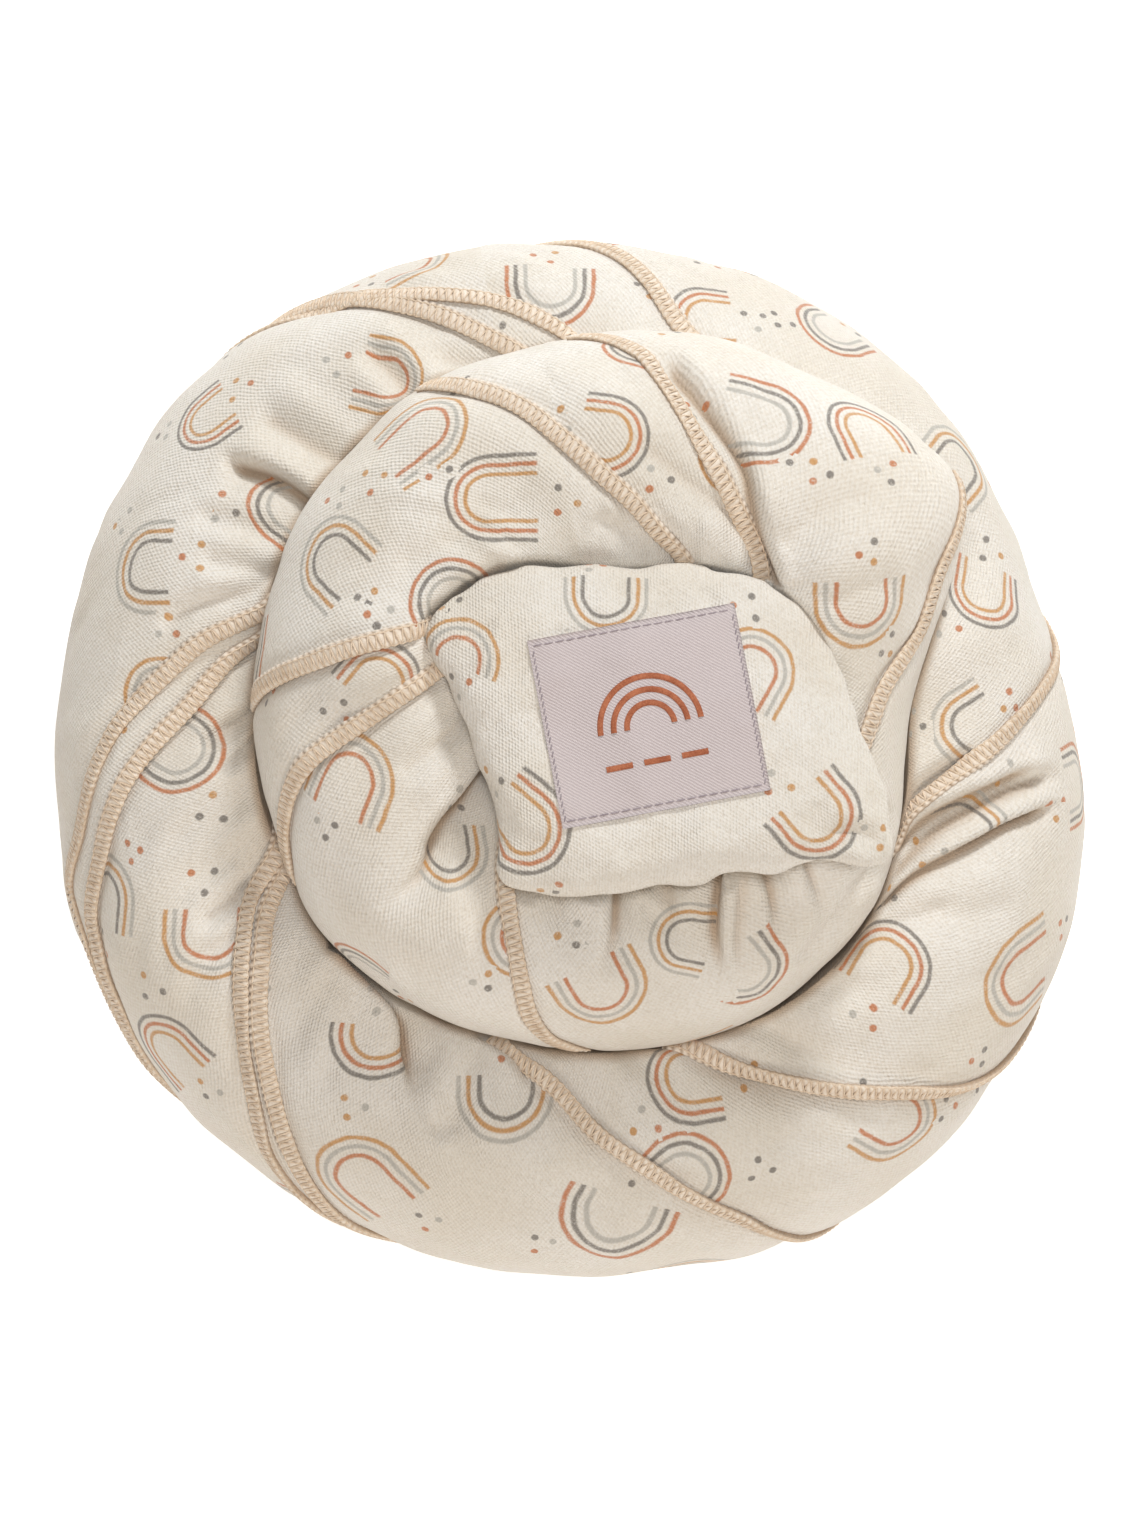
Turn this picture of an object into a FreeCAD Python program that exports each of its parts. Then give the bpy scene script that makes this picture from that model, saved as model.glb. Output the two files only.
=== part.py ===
"""Baby wrap sling, rolled up for storage.

A band of stretch jersey, 5.1 m long and 0.6 m wide, is twisted into a rope and wound into a round
bun: a core turn, a lower turn round it, an upper turn on top of both, and the loose end folded flat
over the middle. The band's two long edges are overlocked, and they show as raised hems that cross
the rope at a slant. A woven label is sewn on the loose end.

Frame: millimetres, +Z up, origin at the middle of the bun on the surface it rests on. The loose end
folds over from +Y towards -Y, and lifts about the fold along its +Y edge.
"""
import FreeCAD
import Part

import math
import os

from FreeCAD import Placement, Rotation, Vector

# ---- Driving dimensions -------------------------------------------------------------------------
LOWER_RADIUS = 100.0          # bun axis to the middle of the lower turn's rope
LOWER_ROPE = 42.0             # radius of the rope in the lower turn
LOWER_HEIGHT = 38.0           # middle of the lower turn's rope above the rest plane

UPPER_CENTRE = Vector(9.5, 16.0, 85.0)
UPPER_RADIUS = 58.0
UPPER_ROPE = 35.0
UPPER_TILT = 5.0              # degrees, the +Y side is the high one
SEAM_TURN = 37.0              # degrees, keeps a ring's seam edge off the planes that cut the ring

CORE_BOTTOM = 5.0             # the core turn hangs clear of the rest plane
CORE_TOP = 70.0
CORE_RADIUS = 66.0
GATHER_BOTTOM = 70.0
GATHER_TOP = 100.0
GATHER_RADIUS = 40.0

HEM_WIDTH = 6.0               # an overlocked edge
HEM_HEIGHT = 1.4
THREAD_WIDTH = 0.8            # needle line and looper line of the overlock
THREAD_HEIGHT = 0.5
THREAD_INSET = 1.2            # thread line to the hem's own edge
HEM_CLEAR = 2.1               # a hem on one turn stops this far from the other turn
HEM_OVERRUN = 5.0             # a crossing is cut this far past the rope's outer side
UPPER_HEM_DROP = 5.0          # the upper crossings start this far below the middle of the rope

FLAP_HINGE = Vector(19.0, 41.0, 119.0)   # the fold that the loose end turns about
FLAP_THICKNESS = 14.0
FLAP_TILT = 4.0               # degrees, the -Y edge is the high one
FLAP_ROUND = 6.0              # rounding of the folded cloth's edges
FLAP_CORNER = 9.0             # rounding of the outline's corners
FLAP_GAP = 1.2                # space pressed into the upper turn round the loose end
FLAP_SWING_RADIUS = 8.6       # what the rounded fold sweeps as it turns
FLAP_SWING_OVERRUN = 16.0     # how far that sweep is cleared past each end of the fold

LABEL_SIZE = (55.0, 50.0)
LABEL_CENTRE = (1.5, -31.0)   # from the fold, in the loose end's own plane
LABEL_TURN = 10.8             # degrees
LABEL_THICKNESS = 0.8
STITCH_LENGTH = 2.2
STITCH_PITCH = 3.3
STITCH_WIDTH = 0.5
STITCH_HEIGHT = 0.4
STITCH_INSET = 1.8
MOTIF_ARCH_RADII = (14.0, 10.5, 7.0)
MOTIF_LINE = 1.5
MOTIF_HEIGHT = 0.35
MOTIF_BASE = -3.0             # height of the arches' feet on the label
MOTIF_BAR_LENGTH = 7.0
MOTIF_BAR_PITCH = 10.0
MOTIF_BAR_DROP = 9.0          # bars below the arches' feet

LIFT = 200.0                  # long enough to clear the whole bun
SCRAP_VOLUME = 1.0            # smaller scraps of a trimmed band are dropped
SAME_HEIGHT = 1e-6            # two heights closer than this are one

# The loose end's outline seen from above, from its fold; x to the right, y up the page.
FLAP_OUTLINE = [(-27.0, 7.0), (33.0, 7.0), (50.0, -14.0), (66.0, -58.0), (56.0, -69.0), (-38.0, -77.0),
                (-54.0, -11.0)]

# Where the long edges cross each turn, as the direction of the crossing's inner end seen from the
# turn's own axis, in degrees, and how far round it has run by its outer end.
LOWER_HEMS = [(87, 41), (148, 50), (158, 44), (192, 45), (199, 45), (262, 34), (290, 34), (352, 22), (70, 12)]
UPPER_HEMS = [(59, 60), (37, 48), (158, 22), (175, 18), (-10, 40), (244, 16)]
HEM_SLANT_END = 0.92          # share of the rope's radius at which a crossing starts and ends


def turn_solid(centre, radius, rope, tilt):
    """One closed turn of rope, tilted about X."""
    ring = Part.makeTorus(radius, rope)
    seam_aside = Rotation(Vector(0, 0, 1), SEAM_TURN)
    ring.Placement = Placement(centre, Rotation(Vector(1, 0, 0), tilt).multiply(seam_aside))
    return ring


def lower_ring(grow=0.0):
    return turn_solid(Vector(0, 0, LOWER_HEIGHT), LOWER_RADIUS, LOWER_ROPE + grow, 0)


def upper_ring(grow=0.0):
    return turn_solid(UPPER_CENTRE, UPPER_RADIUS, UPPER_ROPE + grow, UPPER_TILT)


def largest_solid(shape):
    return max(shape.Solids, key=lambda s: s.Volume)


def rounded_outline(points, corner):
    """A closed wire through the points, each corner rounded by an arc."""
    count = len(points)
    edges = []
    starts = []
    for i, point in enumerate(points):
        here = Vector(*point, 0)
        before = Vector(*points[i - 1], 0) - here
        after = Vector(*points[(i + 1) % count], 0) - here
        half = before.getAngle(after) / 2
        reach = min(corner / math.tan(half), 0.45 * min(before.Length, after.Length))
        radius = reach * math.tan(half)
        before.normalize()
        after.normalize()
        middle = before + after
        middle.normalize()
        centre = here + middle * (radius / math.sin(half))
        starts.append((here + before * reach, centre - middle * radius, here + after * reach))
    for i, (first, mid, last) in enumerate(starts):
        edges.append(Part.Arc(first, mid, last).toShape())
        edges.append(Part.LineSegment(last, starts[(i + 1) % count][0]).toShape())
    return Part.Wire(edges)


def flap_blank(grow, height, below):
    """The loose end's outline as a plain block in its own plane, grown outwards by a gap."""
    outline = rounded_outline(FLAP_OUTLINE, FLAP_CORNER)
    if grow:
        outline = outline.makeOffset2D(grow)
    block = Part.Face(outline).extrude(Vector(0, 0, height + below))
    block.translate(Vector(0, 0, -below))
    return block


def place_on_flap(shape):
    shape.Placement = Placement(FLAP_HINGE, Rotation(Vector(1, 0, 0), -FLAP_TILT)).multiply(shape.Placement)
    return shape


def flap_solid():
    half = FLAP_THICKNESS / 2
    block = flap_blank(0, half, half)
    rims = [e for e in block.Edges if abs(abs(e.CenterOfMass.z) - half) < SAME_HEIGHT]
    return place_on_flap(block.makeFillet(FLAP_ROUND, rims))


def flap_room():
    """The space that the loose end needs to lie in and to lift out of."""
    half = FLAP_THICKNESS / 2
    block = flap_blank(FLAP_GAP, LIFT, half + FLAP_GAP)
    left, right = FLAP_OUTLINE[0][0] - FLAP_SWING_OVERRUN, FLAP_OUTLINE[1][0] + FLAP_SWING_OVERRUN
    fold = Part.makeCylinder(FLAP_SWING_RADIUS, right - left, Vector(left, 0, 0), Vector(1, 0, 0))
    return place_on_flap(block), place_on_flap(fold)


def slab_across(centre, radius, rope, hem, width, offset):
    """An upright slab along one crossing of the rope, from its inner side over the top to its outer
    side. offset moves it sideways."""
    start, run = hem
    inner = radius - HEM_SLANT_END * rope
    outer = radius + rope + HEM_OVERRUN
    a, b = math.radians(start), math.radians(start + run)
    first = centre + Vector(inner * math.cos(a), inner * math.sin(a), 0)
    last = centre + Vector(outer * math.cos(b), outer * math.sin(b), 0)
    along = last - first
    length = along.Length
    slab = Part.makeBox(length, width, LIFT, Vector(0, offset - width / 2, 0))
    slab.Placement = Placement(first, Rotation(Vector(1, 0, 0), along))
    return slab


def hem_bands(ring, centre, radius, rope, hems, base, height, width, offsets):
    """Bands that lie on the rope along each crossing, from base to base + height above it."""
    shell = ring(base + height).cut(ring(base))
    bands = []
    for hem in hems:
        for offset in offsets:
            slab = slab_across(centre, radius, rope, hem, width, offset)
            bands.extend(shell.common(slab).Solids)
    return bands


def trimmed(bands, cutters):
    """What is left of the bands outside the cutters."""
    for cutter in cutters:
        bands = [s for band in bands for s in band.cut(cutter).Solids if s.Volume > SCRAP_VOLUME]
    return bands


def label_plate():
    width, depth = LABEL_SIZE
    plate = Part.makeBox(width, depth, LABEL_THICKNESS, Vector(-width / 2, -depth / 2, 0))
    return [plate]


def label_stitches():
    """A running stitch inside the label's four sides."""
    width, depth = LABEL_SIZE
    stitches = []
    for turn, side, across in ((0, width, depth), (90, depth, width), (180, width, depth), (270, depth, width)):
        run = side - 2 * STITCH_INSET - STITCH_LENGTH
        count = int(run / STITCH_PITCH)
        for i in range(count):
            x = -run / 2 + (i + 0.5) * run / count
            y = across / 2 - STITCH_INSET
            stitch = Part.makeBox(
                STITCH_LENGTH, STITCH_WIDTH, STITCH_HEIGHT,
                Vector(x - STITCH_LENGTH / 2, y - STITCH_WIDTH / 2, LABEL_THICKNESS))
            stitch.rotate(Vector(0, 0, 0), Vector(0, 0, 1), turn)
            stitches.append(stitch)
    return stitches


def label_motif():
    """Three plain arches with three short bars under them."""
    shapes = []
    for radius in MOTIF_ARCH_RADII:
        outer = Part.makeCylinder(radius, MOTIF_HEIGHT, Vector(0, 0, 0), Vector(0, 0, 1), 180)
        inner = Part.makeCylinder(radius - MOTIF_LINE, MOTIF_HEIGHT, Vector(0, 0, 0), Vector(0, 0, 1), 180)
        arch = outer.cut(inner)
        arch.translate(Vector(0, MOTIF_BASE, LABEL_THICKNESS))
        shapes.append(arch)
    for i in (-1, 0, 1):
        bar = Part.makeBox(
            MOTIF_BAR_LENGTH, MOTIF_LINE, MOTIF_HEIGHT,
            Vector(i * MOTIF_BAR_PITCH - MOTIF_BAR_LENGTH / 2, MOTIF_BASE - MOTIF_BAR_DROP, LABEL_THICKNESS))
        shapes.append(bar)
    return shapes


def on_label(shapes):
    """Moves shapes from the label's own plane to the top of the loose end."""
    spot = Placement(
        Vector(*LABEL_CENTRE, FLAP_THICKNESS / 2), Rotation(Vector(0, 0, 1), LABEL_TURN))
    for shape in shapes:
        shape.Placement = spot.multiply(shape.Placement)
    return [place_on_flap(shape) for shape in shapes]


def upright_cylinder(centre, radius, bottom, top):
    return Part.makeCylinder(radius, top - bottom, Vector(centre.x, centre.y, bottom))


def make_parts():
    lower, upper = lower_ring(), upper_ring()
    room_above, room_at_fold = flap_room()
    above_rest = Part.makeBox(4 * LIFT, 4 * LIFT, LIFT, Vector(-2 * LIFT, -2 * LIFT, 0))

    lower_turn = largest_solid(lower.common(above_rest).cut(upper))
    upper_turn = largest_solid(upper.cut(room_above).cut(room_at_fold))
    core = upright_cylinder(Vector(0, 0, 0), CORE_RADIUS, CORE_BOTTOM, CORE_TOP)
    core_turn = largest_solid(core.cut(lower).cut(upper))
    gather = upright_cylinder(UPPER_CENTRE, GATHER_RADIUS, GATHER_BOTTOM, GATHER_TOP)
    centre_gather = largest_solid(gather.cut(upper))

    lower_centre = Vector(0, 0, LOWER_HEIGHT)
    upper_base = Vector(UPPER_CENTRE.x, UPPER_CENTRE.y, UPPER_CENTRE.z - UPPER_HEM_DROP)
    lower_args = (lower_ring, lower_centre, LOWER_RADIUS, LOWER_ROPE, LOWER_HEMS)
    upper_args = (upper_ring, upper_base, UPPER_RADIUS, UPPER_ROPE, UPPER_HEMS)
    thread_offsets = [s * (HEM_WIDTH / 2 - THREAD_INSET) for s in (-1, 1)]

    lower_cutters = [upper_ring(HEM_CLEAR), core]
    upper_cutters = [lower_ring(HEM_CLEAR), room_above, room_at_fold, gather]
    lower_hem = trimmed(hem_bands(*lower_args, 0, HEM_HEIGHT, HEM_WIDTH, [0]), lower_cutters)
    upper_hem = trimmed(hem_bands(*upper_args, 0, HEM_HEIGHT, HEM_WIDTH, [0]), upper_cutters)
    lower_thread = trimmed(
        hem_bands(*lower_args, HEM_HEIGHT, THREAD_HEIGHT, THREAD_WIDTH, thread_offsets), lower_cutters)
    upper_thread = trimmed(
        hem_bands(*upper_args, HEM_HEIGHT, THREAD_HEIGHT, THREAD_WIDTH, thread_offsets), upper_cutters)

    return {
        "core_turn": [core_turn],
        "lower_turn": [lower_turn],
        "upper_turn": [upper_turn],
        "centre_gather": [centre_gather],
        "lower_turn_hems": lower_hem,
        "upper_turn_hems": upper_hem,
        "lower_hem_thread": lower_thread,
        "upper_hem_thread": upper_thread,
        "end_flap": [flap_solid()],
        "label_patch": on_label(label_plate()),
        "label_stitching": on_label(label_stitches()),
        "label_motif": on_label(label_motif()),
    }


os.makedirs("parts", exist_ok=True)
for node, solids in make_parts().items():
    shape = solids[0] if len(solids) == 1 else Part.makeCompound(solids)
    shape.exportStep(f"parts/{node}.step")
    box = shape.BoundBox
    print(f"{node}: {len(solids)} solid(s), {shape.Volume / 1000:.1f} cm3, valid {shape.isValid()}, "
          f"x {box.XMin:.1f}..{box.XMax:.1f}, y {box.YMin:.1f}..{box.YMax:.1f}, z {box.ZMin:.1f}..{box.ZMax:.1f}")
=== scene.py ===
"""Looks of the rolled baby wrap sling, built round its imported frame.

Shapes are worked out in millimetres and turned into metres when a mesh is made. "Seen" positions are plan
positions as the camera sees them, on a level plane at REFERENCE_HEIGHT; a ray from the camera through one
finds its place on a surface.
"""

import math

import bpy
import numpy as np
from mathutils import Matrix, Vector
from mathutils.bvhtree import BVHTree


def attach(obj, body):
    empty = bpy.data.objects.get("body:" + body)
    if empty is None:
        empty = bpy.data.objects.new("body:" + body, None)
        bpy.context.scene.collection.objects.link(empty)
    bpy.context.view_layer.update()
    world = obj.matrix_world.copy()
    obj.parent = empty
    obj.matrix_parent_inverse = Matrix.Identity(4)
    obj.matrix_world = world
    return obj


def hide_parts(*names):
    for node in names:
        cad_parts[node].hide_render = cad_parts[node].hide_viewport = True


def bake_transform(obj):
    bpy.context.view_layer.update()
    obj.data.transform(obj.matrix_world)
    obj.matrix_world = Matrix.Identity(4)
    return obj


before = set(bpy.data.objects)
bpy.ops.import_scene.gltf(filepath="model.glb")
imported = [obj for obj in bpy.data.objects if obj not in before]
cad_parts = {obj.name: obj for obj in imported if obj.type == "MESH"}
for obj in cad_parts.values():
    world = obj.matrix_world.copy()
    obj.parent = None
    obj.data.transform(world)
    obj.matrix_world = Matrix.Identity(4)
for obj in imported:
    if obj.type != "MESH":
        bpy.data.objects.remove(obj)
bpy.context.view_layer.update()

MM = 0.001
UP = np.array([0.0, 0.0, 1.0])

# ---- Camera -------------------------------------------------------------------------------------
REFERENCE_HEIGHT = 45.0
CAMERA_DISTANCE = 1600.0
CAMERA_PLACE = np.array([0.0, -0.8, REFERENCE_HEIGHT + CAMERA_DISTANCE])
CAMERA_LENS = 137.8           # 36 mm on the long side covers 418 mm at the reference plane

# ---- The two turns, as the CAD frame has them ---------------------------------------------------
LOWER_RADIUS, LOWER_ROPE, LOWER_CENTRE = 100.0, 42.0, np.array([0.0, 0.0, 38.0])
UPPER_RADIUS, UPPER_ROPE, UPPER_CENTRE = 58.0, 35.0, np.array([9.5, 16.0, 85.0])
UPPER_TILT = 5.0
# Each turn's outer radius round its own centre, evenly spaced counter-clockwise from +X
LOWER_OUTLINE = [141, 136, 140, 142, 142, 143, 145, 146, 143, 142, 144, 144, 143, 143, 144, 148, 148, 146]
UPPER_OUTLINE = [82, 88, 99, 110, 109, 105, 102, 100.5, 99, 97.5, 96, 96, 96, 95.5, 95, 94.5, 94, 94, 94.5,
                 95, 96, 97.5, 99, 98.5, 97, 96, 95.5, 95, 95, 95, 95, 94, 92, 88.5, 85, 82]
FLOOR_GAP = 0.4
PRESS_GAP = 0.4
CREVICE = 0.7                 # how far the lower turn draws back where the upper one meets it

# ---- The loose end ------------------------------------------------------------------------------
FLAP_HINGE = np.array([19.0, 41.0, 119.0])
FLAP_TILT = 4.0
FLAP_OUTLINE = [(-46, 3), (-30, 8.5), (-6, 8), (15, 8), (31, 5), (43, -7), (51, -22), (58.5, -38), (64.5, -54),
                (65.5, -63), (60.5, -68.5), (52, -68), (36, -70), (15, -74), (-11, -77), (-27, -77), (-37, -74), (-41, -57),
                (-48, -29), (-54, -13), (-56, -6)]
FLAP_CREASES = [
    ([(87, -24), (79, -21), (70, -21)], 3.0, 2.2),
    ([(36, 54), (37, 47), (40, 40)], 2.2, 1.0),
    ([(-40, 30), (-30, 32), (-20, 36)], 3.0, 1.0),
    ([(60, -31), (66, -22), (69, -12)], 3.5, 1.1),
]
FLAP_THICKNESS = 14.0
LABEL_SIZE = (55.0, 50.0)
LABEL_CENTRE = (1.5, -31.0)
LABEL_TURN = 10.8

# ---- Overlocked edges: seen positions from the inner end to the outer end, the side that lies lower
# (1 left, -1 right, 0 neither) and how deep it lies ----------------------------------------------
LOWER_HEMS = [
    ([(2, 115), (-3, 120), (-18, 126), (-38, 128), (-57, 128), (-82, 121)], 0, 1.0),
    ([(-7, 110.5), (-21, 118), (-37, 124), (-53, 127), (-66, 127), (-78, 124), (-90, 117)], 1, 3.0),
    ([(-76, 45), (-99, 35), (-112, 24), (-124, 11), (-131, -4), (-136, -21), (-138, -35), (-135, -47)], 0, 1.0),
    ([(-76, 38), (-95, 29), (-106, 16), (-118, 2), (-126, -13), (-131, -28), (-133, -42), (-131, -53)], 1, 2.5),
    ([(-80, -24), (-86, -34), (-89.5, -42), (-90.5, -54), (-90.5, -75), (-88, -95), (-83, -111), (-75, -122)],
     -1, 1.5),
    ([(-77, -28), (-82, -36), (-85.5, -44), (-86, -54), (-86, -75), (-83, -95), (-78.5, -109), (-70, -122)],
     1, 1.5),
    ([(-14, -84), (-3, -93), (7, -103), (19, -111), (29, -118), (38, -123), (49, -128), (64, -132)], -1, 3.0),
    ([(25, -76), (40, -84), (54, -88), (73, -91), (92, -92), (109, -91), (121, -86)], -1, 4.0),
    ([(86, -21), (100, -11), (111, -2), (122, 8), (130, 18), (134, 27), (134, 36)], -1, 1.5),
    ([(40, 110), (36, 115), (29, 123), (23, 131), (15, 138)], 1, 1.0),
]
UPPER_HEMS = [
    ([(32, 53), (26, 61), (19, 70), (9, 79), (-3, 90), (-13, 98), (-28, 103), (-41, 101)], 1, 2.5),
    ([(50.5, 60), (46, 70), (41.5, 79), (37, 87), (31.5, 97), (26.5, 105), (20, 112)], 0, 1.0),
    ([(-35, 39), (-43, 36), (-65, 29), (-79, 24), (-86, 19)], 1, 2.5),
    ([(-30, 28), (-37, 24), (-57, 11), (-72, 1), (-86, -6)], 1, 2.0),
    ([(80, 0), (87, 18), (94, 29), (98, 36), (103, 51), (107, 62), (107, 76)], 1, 1.5),
    ([(-18, -36), (-15, -54), (-12, -70), (-6, -81)], 0, 1.0),
]
# ---- Creases: seen positions, width, depth and the side that lies lower, then the shares of the way
# over which it deepens at its start and runs out at its end, if they aren't the usual ones ---------
LOWER_CREASES = [
    ([(-97, 82), (-92, 82), (-79, 77), (-66, 66)], 4.0, 9.5, -1),
    ([(-88, 96), (-83, 94), (-72, 87), (-58, 79)], 4.5, 4.5, 0),
    ([(-58, 114), (-51, 109), (-46, 102), (-46, 94)], 3.5, 4.5, 0),
    ([(-40, 114), (-25, 110), (-12, 105)], 3.5, 3.5, 0),
    ([(-103, 55), (-94, 53), (-78, 51)], 3.0, 2.8, 0),
    ([(-104, 66), (-94, 65), (-80, 61)], 3.0, 1.8, 0),
    ([(-114, 34), (-106, 40), (-94, 45), (-78, 51)], 3.0, 3.6, 0),
    ([(-104, 0), (-95, 8), (-84, 14)], 2.4, 4.2, 0),
    ([(-100, -5), (-92, 2), (-84, 6)], 2.2, 3.4, 0),
    ([(-96, 25), (-88, 30), (-80, 33)], 2.4, 2.4, 0),
    ([(-103, -46), (-97, -42), (-87, -34)], 3.0, 4.0, 0),
    ([(-103, -56), (-96, -52), (-88, -44)], 3.0, 2.2, 0),
    ([(-68, -52), (-61, -59), (-54, -66), (-48.5, -73), (-47, -84), (-43, -95)], 7.0, 10.0, 1, 0.1, 0.3),
    ([(-47, -82), (-42, -96), (-35, -107)], 6.0, 2.5, 1),
    ([(-27, -76), (-17, -82), (-11, -90)], 4.0, 5.0, 1),
    ([(-24, -78), (-30, -92), (-34, -106)], 5.0, 1.8, 0),
    ([(80, -46), (92, -36), (102, -29), (120, -19), (136, -12)], 3.2, 9.0, -1),
    ([(82, -38), (93, -29), (105, -19), (120, -11), (136, -4)], 2.8, 6.5, 0),
    ([(84, -30), (94, -21), (106, -13), (130, -1)], 2.8, 8.0, -1),
    ([(84, -22), (92, -15), (104, -5), (114, 3)], 2.4, 5.0, 0),
    ([(78, -52), (92, -46), (108, -40)], 3.0, 3.0, 0),
    ([(93, -50), (108, -43), (124, -40)], 5.0, 1.8, 0),
    ([(50, -72), (66, -82), (88, -87), (106, -86)], 4.5, 2.6, 0),
    ([(30, -78), (44, -86), (60, -97)], 5.0, 1.5, 0),
    ([(98, 84), (110, 68), (117, 50)], 6.0, 1.6, 0),
]
UPPER_CREASES = [
    ([(-20, 2), (-28, -9), (-35, -16.5), (-40, -24), (-42, -31), (-46, -37), (-54, -43)], 6.0, 9.0, 1, 0, 0.5),
    ([(-26, 14), (-36, 4), (-48, -6)], 3.5, 2.6, 0),
    ([(27, 113), (34, 105), (43, 93), (49, 82), (51.5, 70), (55, 56), (58, 46)], 5.5, 7.5, -1, 0.12, 0.02),
    ([(16, 89), (31, 77), (47, 64), (54, 52)], 5.5, 3.2, 0),
    ([(5, 66), (14, 62), (24, 54)], 3.5, 2.0, 0),
    ([(-14, 55), (-28, 46), (-41, 36)], 3.6, 5.0, 0),
    ([(-20, 66), (-34, 58), (-50, 52)], 6.0, 1.6, 0),
    ([(58, 56), (68, 66), (84, 74)], 5.0, 2.0, 0),
    ([(68, 40), (80, 46), (92, 50)], 5.0, 1.8, 0),
    ([(11.5, -28), (11.5, -40), (11, -52), (9, -63)], 5.0, 7.0, 1, 0, 0.6),
    ([(-3, -30), (-3, -46), (-1, -60)], 5.0, 3.5, 0, 0, 0.9),
    ([(26, -30), (27, -44), (25, -58)], 6.0, 4.5, 0, 0, 0.9),
    ([(41.5, -26), (41, -38), (41, -50), (43, -66)], 5.5, 9.0, -1, 0, 0.6),
    ([(47.5, -28), (47, -42), (46.5, -54), (46, -66)], 4.0, 4.0, 1, 0, 0.5),
    ([(50, -26), (55, -38), (56.5, -47), (55, -56)], 6.0, 6.0, 1, 0, 0.6),
    ([(62, -24), (68, -38), (70, -50)], 6.0, 5.0, 1, 0, 0.8),
    ([(80, -30), (74, -44), (62, -58)], 5.0, 2.2, 0),
    ([(88, -12), (84, -26), (78, -38)], 4.0, 2.4, 0),
    ([(-26, 35), (-36, 31), (-47, 26)], 5.0, 5.0, 0, 0, 0.8),
]

# ---- The print: seen position, colourway, the direction of the arch's closed end, its size, and the
# length of its legs ------------------------------------------------------------------------------
LOWER_ARCHES = [
    (-100, 93, 0, 218, 0.92, 8), (-51, 104, 1, -15, 0.92, 8), (-116, 52, 3, 180, 1.1, 6), (-76, 69, 2, 145, 1, 10),
    (-108, 2, 2, -30, 1.05, 7), (-112, 15, 1, 120, 1, 7), (-128, -39, 3, 90, 1.1, 7), (-99, -48, 1, 270, 1.08, 6),
    (-45, 135, 1, 15, 1, 7), (-6, 130, 2, 270, 1.05, 7), (38, 120, 0, 180, 1, 7), (72, 118, 2, 200, 1, 7),
    (107, 81, 3, 60, 1.05, 7), (114, 46, 0, 260, 0.97, 9), (112, 8, 3, 215, 1, 7), (109, -21, 3, 20, 1.05, 6),
    (139, -7, 2, 30, 1, 7), (87, -57, 0, 60, 1.0, 8), (125, -60, 1, 215, 1.3, 8), (90, -100, 1, -30, 1.12, 8),
    (31, -116, 2, 45, 1.1, 7), (13, -126, 2, 245, 1.38, 4), (33, -87, 0, 190, 1.05, 7), (-17, -91, 3, 270, 1.15, 3),
    (-57, -116, 1, 135, 1.2, 11), (-110, -81, 0, 130, 1.05, 9), (-52, -76, 0, 262, 1.05, 1),
]
UPPER_ARCHES = [
    (-34, -25, 3, 270, 1, 7), (-56, -59, 2, 180, 1, 7), (-61, -7, 1, 70, 1.12, 8), (-53, 21, 0, 50, 0.95, 7),
    (-65, 54, 3, 135, 1.05, 9), (-40, 91, 1, 35, 1.05, 13), (-22, 71, 0, 180, 1, 13), (-33, 43, 2, 110, 1, 7),
    (10, 88, 0, -12, 0.95, 8), (20, 113, 2, 210, 0.95, 8), (53, 92, 2, -15, 1.1, 10), (82, 90, 0, 120, 1, 9),
    (81, 43, 1, 270, 1.1, 5), (9, -64, 1, 300, 1.08, 7), (33, -50, 3, 165, 0.9, 7), (48, -59, 2, -50, 1.05, 7),
    (-21, 2, 0, 180, 0.75, 7), (-12, -50, 1, 190, 1, 7), (46, 81, 1, 205, 0.95, 7),
]
FLAP_ARCHES = [
    (10, 45, 3, 270, 0.95, 6), (-31, 26, 1, 70, 1, 1), (50, 24, 1, 60, 1, 9), (-13, -19, 0, -40, 1.1, 9),
    (68, -16, 0, -50, 1.05, 7),
]
ARCH_RADII = (11.2, 8.9, 6.4)
USUAL_LEG = 7.0
STROKE = 1.15
DOT_RADIUS = 1.05
PRINT_SPACING = 36.0
NO_PRINT = -1.0


# ---- Small helpers ------------------------------------------------------------------------------
def smooth(low, high, x):
    t = np.clip((x - low) / (high - low), 0.0, 1.0)
    return t * t * (3 - 2 * t)


def unit(v):
    return v / np.maximum(np.linalg.norm(v, axis=-1, keepdims=True), 1e-9)


def periodic_curve(values, share):
    """A smooth closed curve through evenly spaced values, read at shares of the way round."""
    values = np.asarray(values, float)
    at = np.asarray(share) * len(values)
    i = np.floor(at).astype(int)
    t = at - i
    a, b, c, d = (values[(i + k) % len(values)] for k in (-1, 0, 1, 2))
    return b + 0.5 * t * (c - a + t * (2 * a - 5 * b + 4 * c - d + t * (3 * (b - c) + d - a)))


def curve_through(points, step):
    """Evenly spaced points on a smooth open curve through the given ones."""
    p = np.asarray(points, float)
    p = np.vstack([2 * p[0] - p[1], p, 2 * p[-1] - p[-2]])
    fine = []
    for a, b, c, d in zip(p, p[1:], p[2:], p[3:]):
        for t in np.linspace(0, 1, 12, endpoint=False):
            fine.append(b + 0.5 * t * (c - a + t * (2 * a - 5 * b + 4 * c - d + t * (3 * (b - c) + d - a))))
    fine = np.array(fine + [p[-2]])
    length = np.concatenate([[0], np.cumsum(np.linalg.norm(np.diff(fine, axis=0), axis=1))])
    count = max(3, int(round(length[-1] / step)) + 1)
    at = np.linspace(0, length[-1], count)
    return np.stack([np.interp(at, length, fine[:, k]) for k in range(fine.shape[1])], axis=1)


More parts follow.
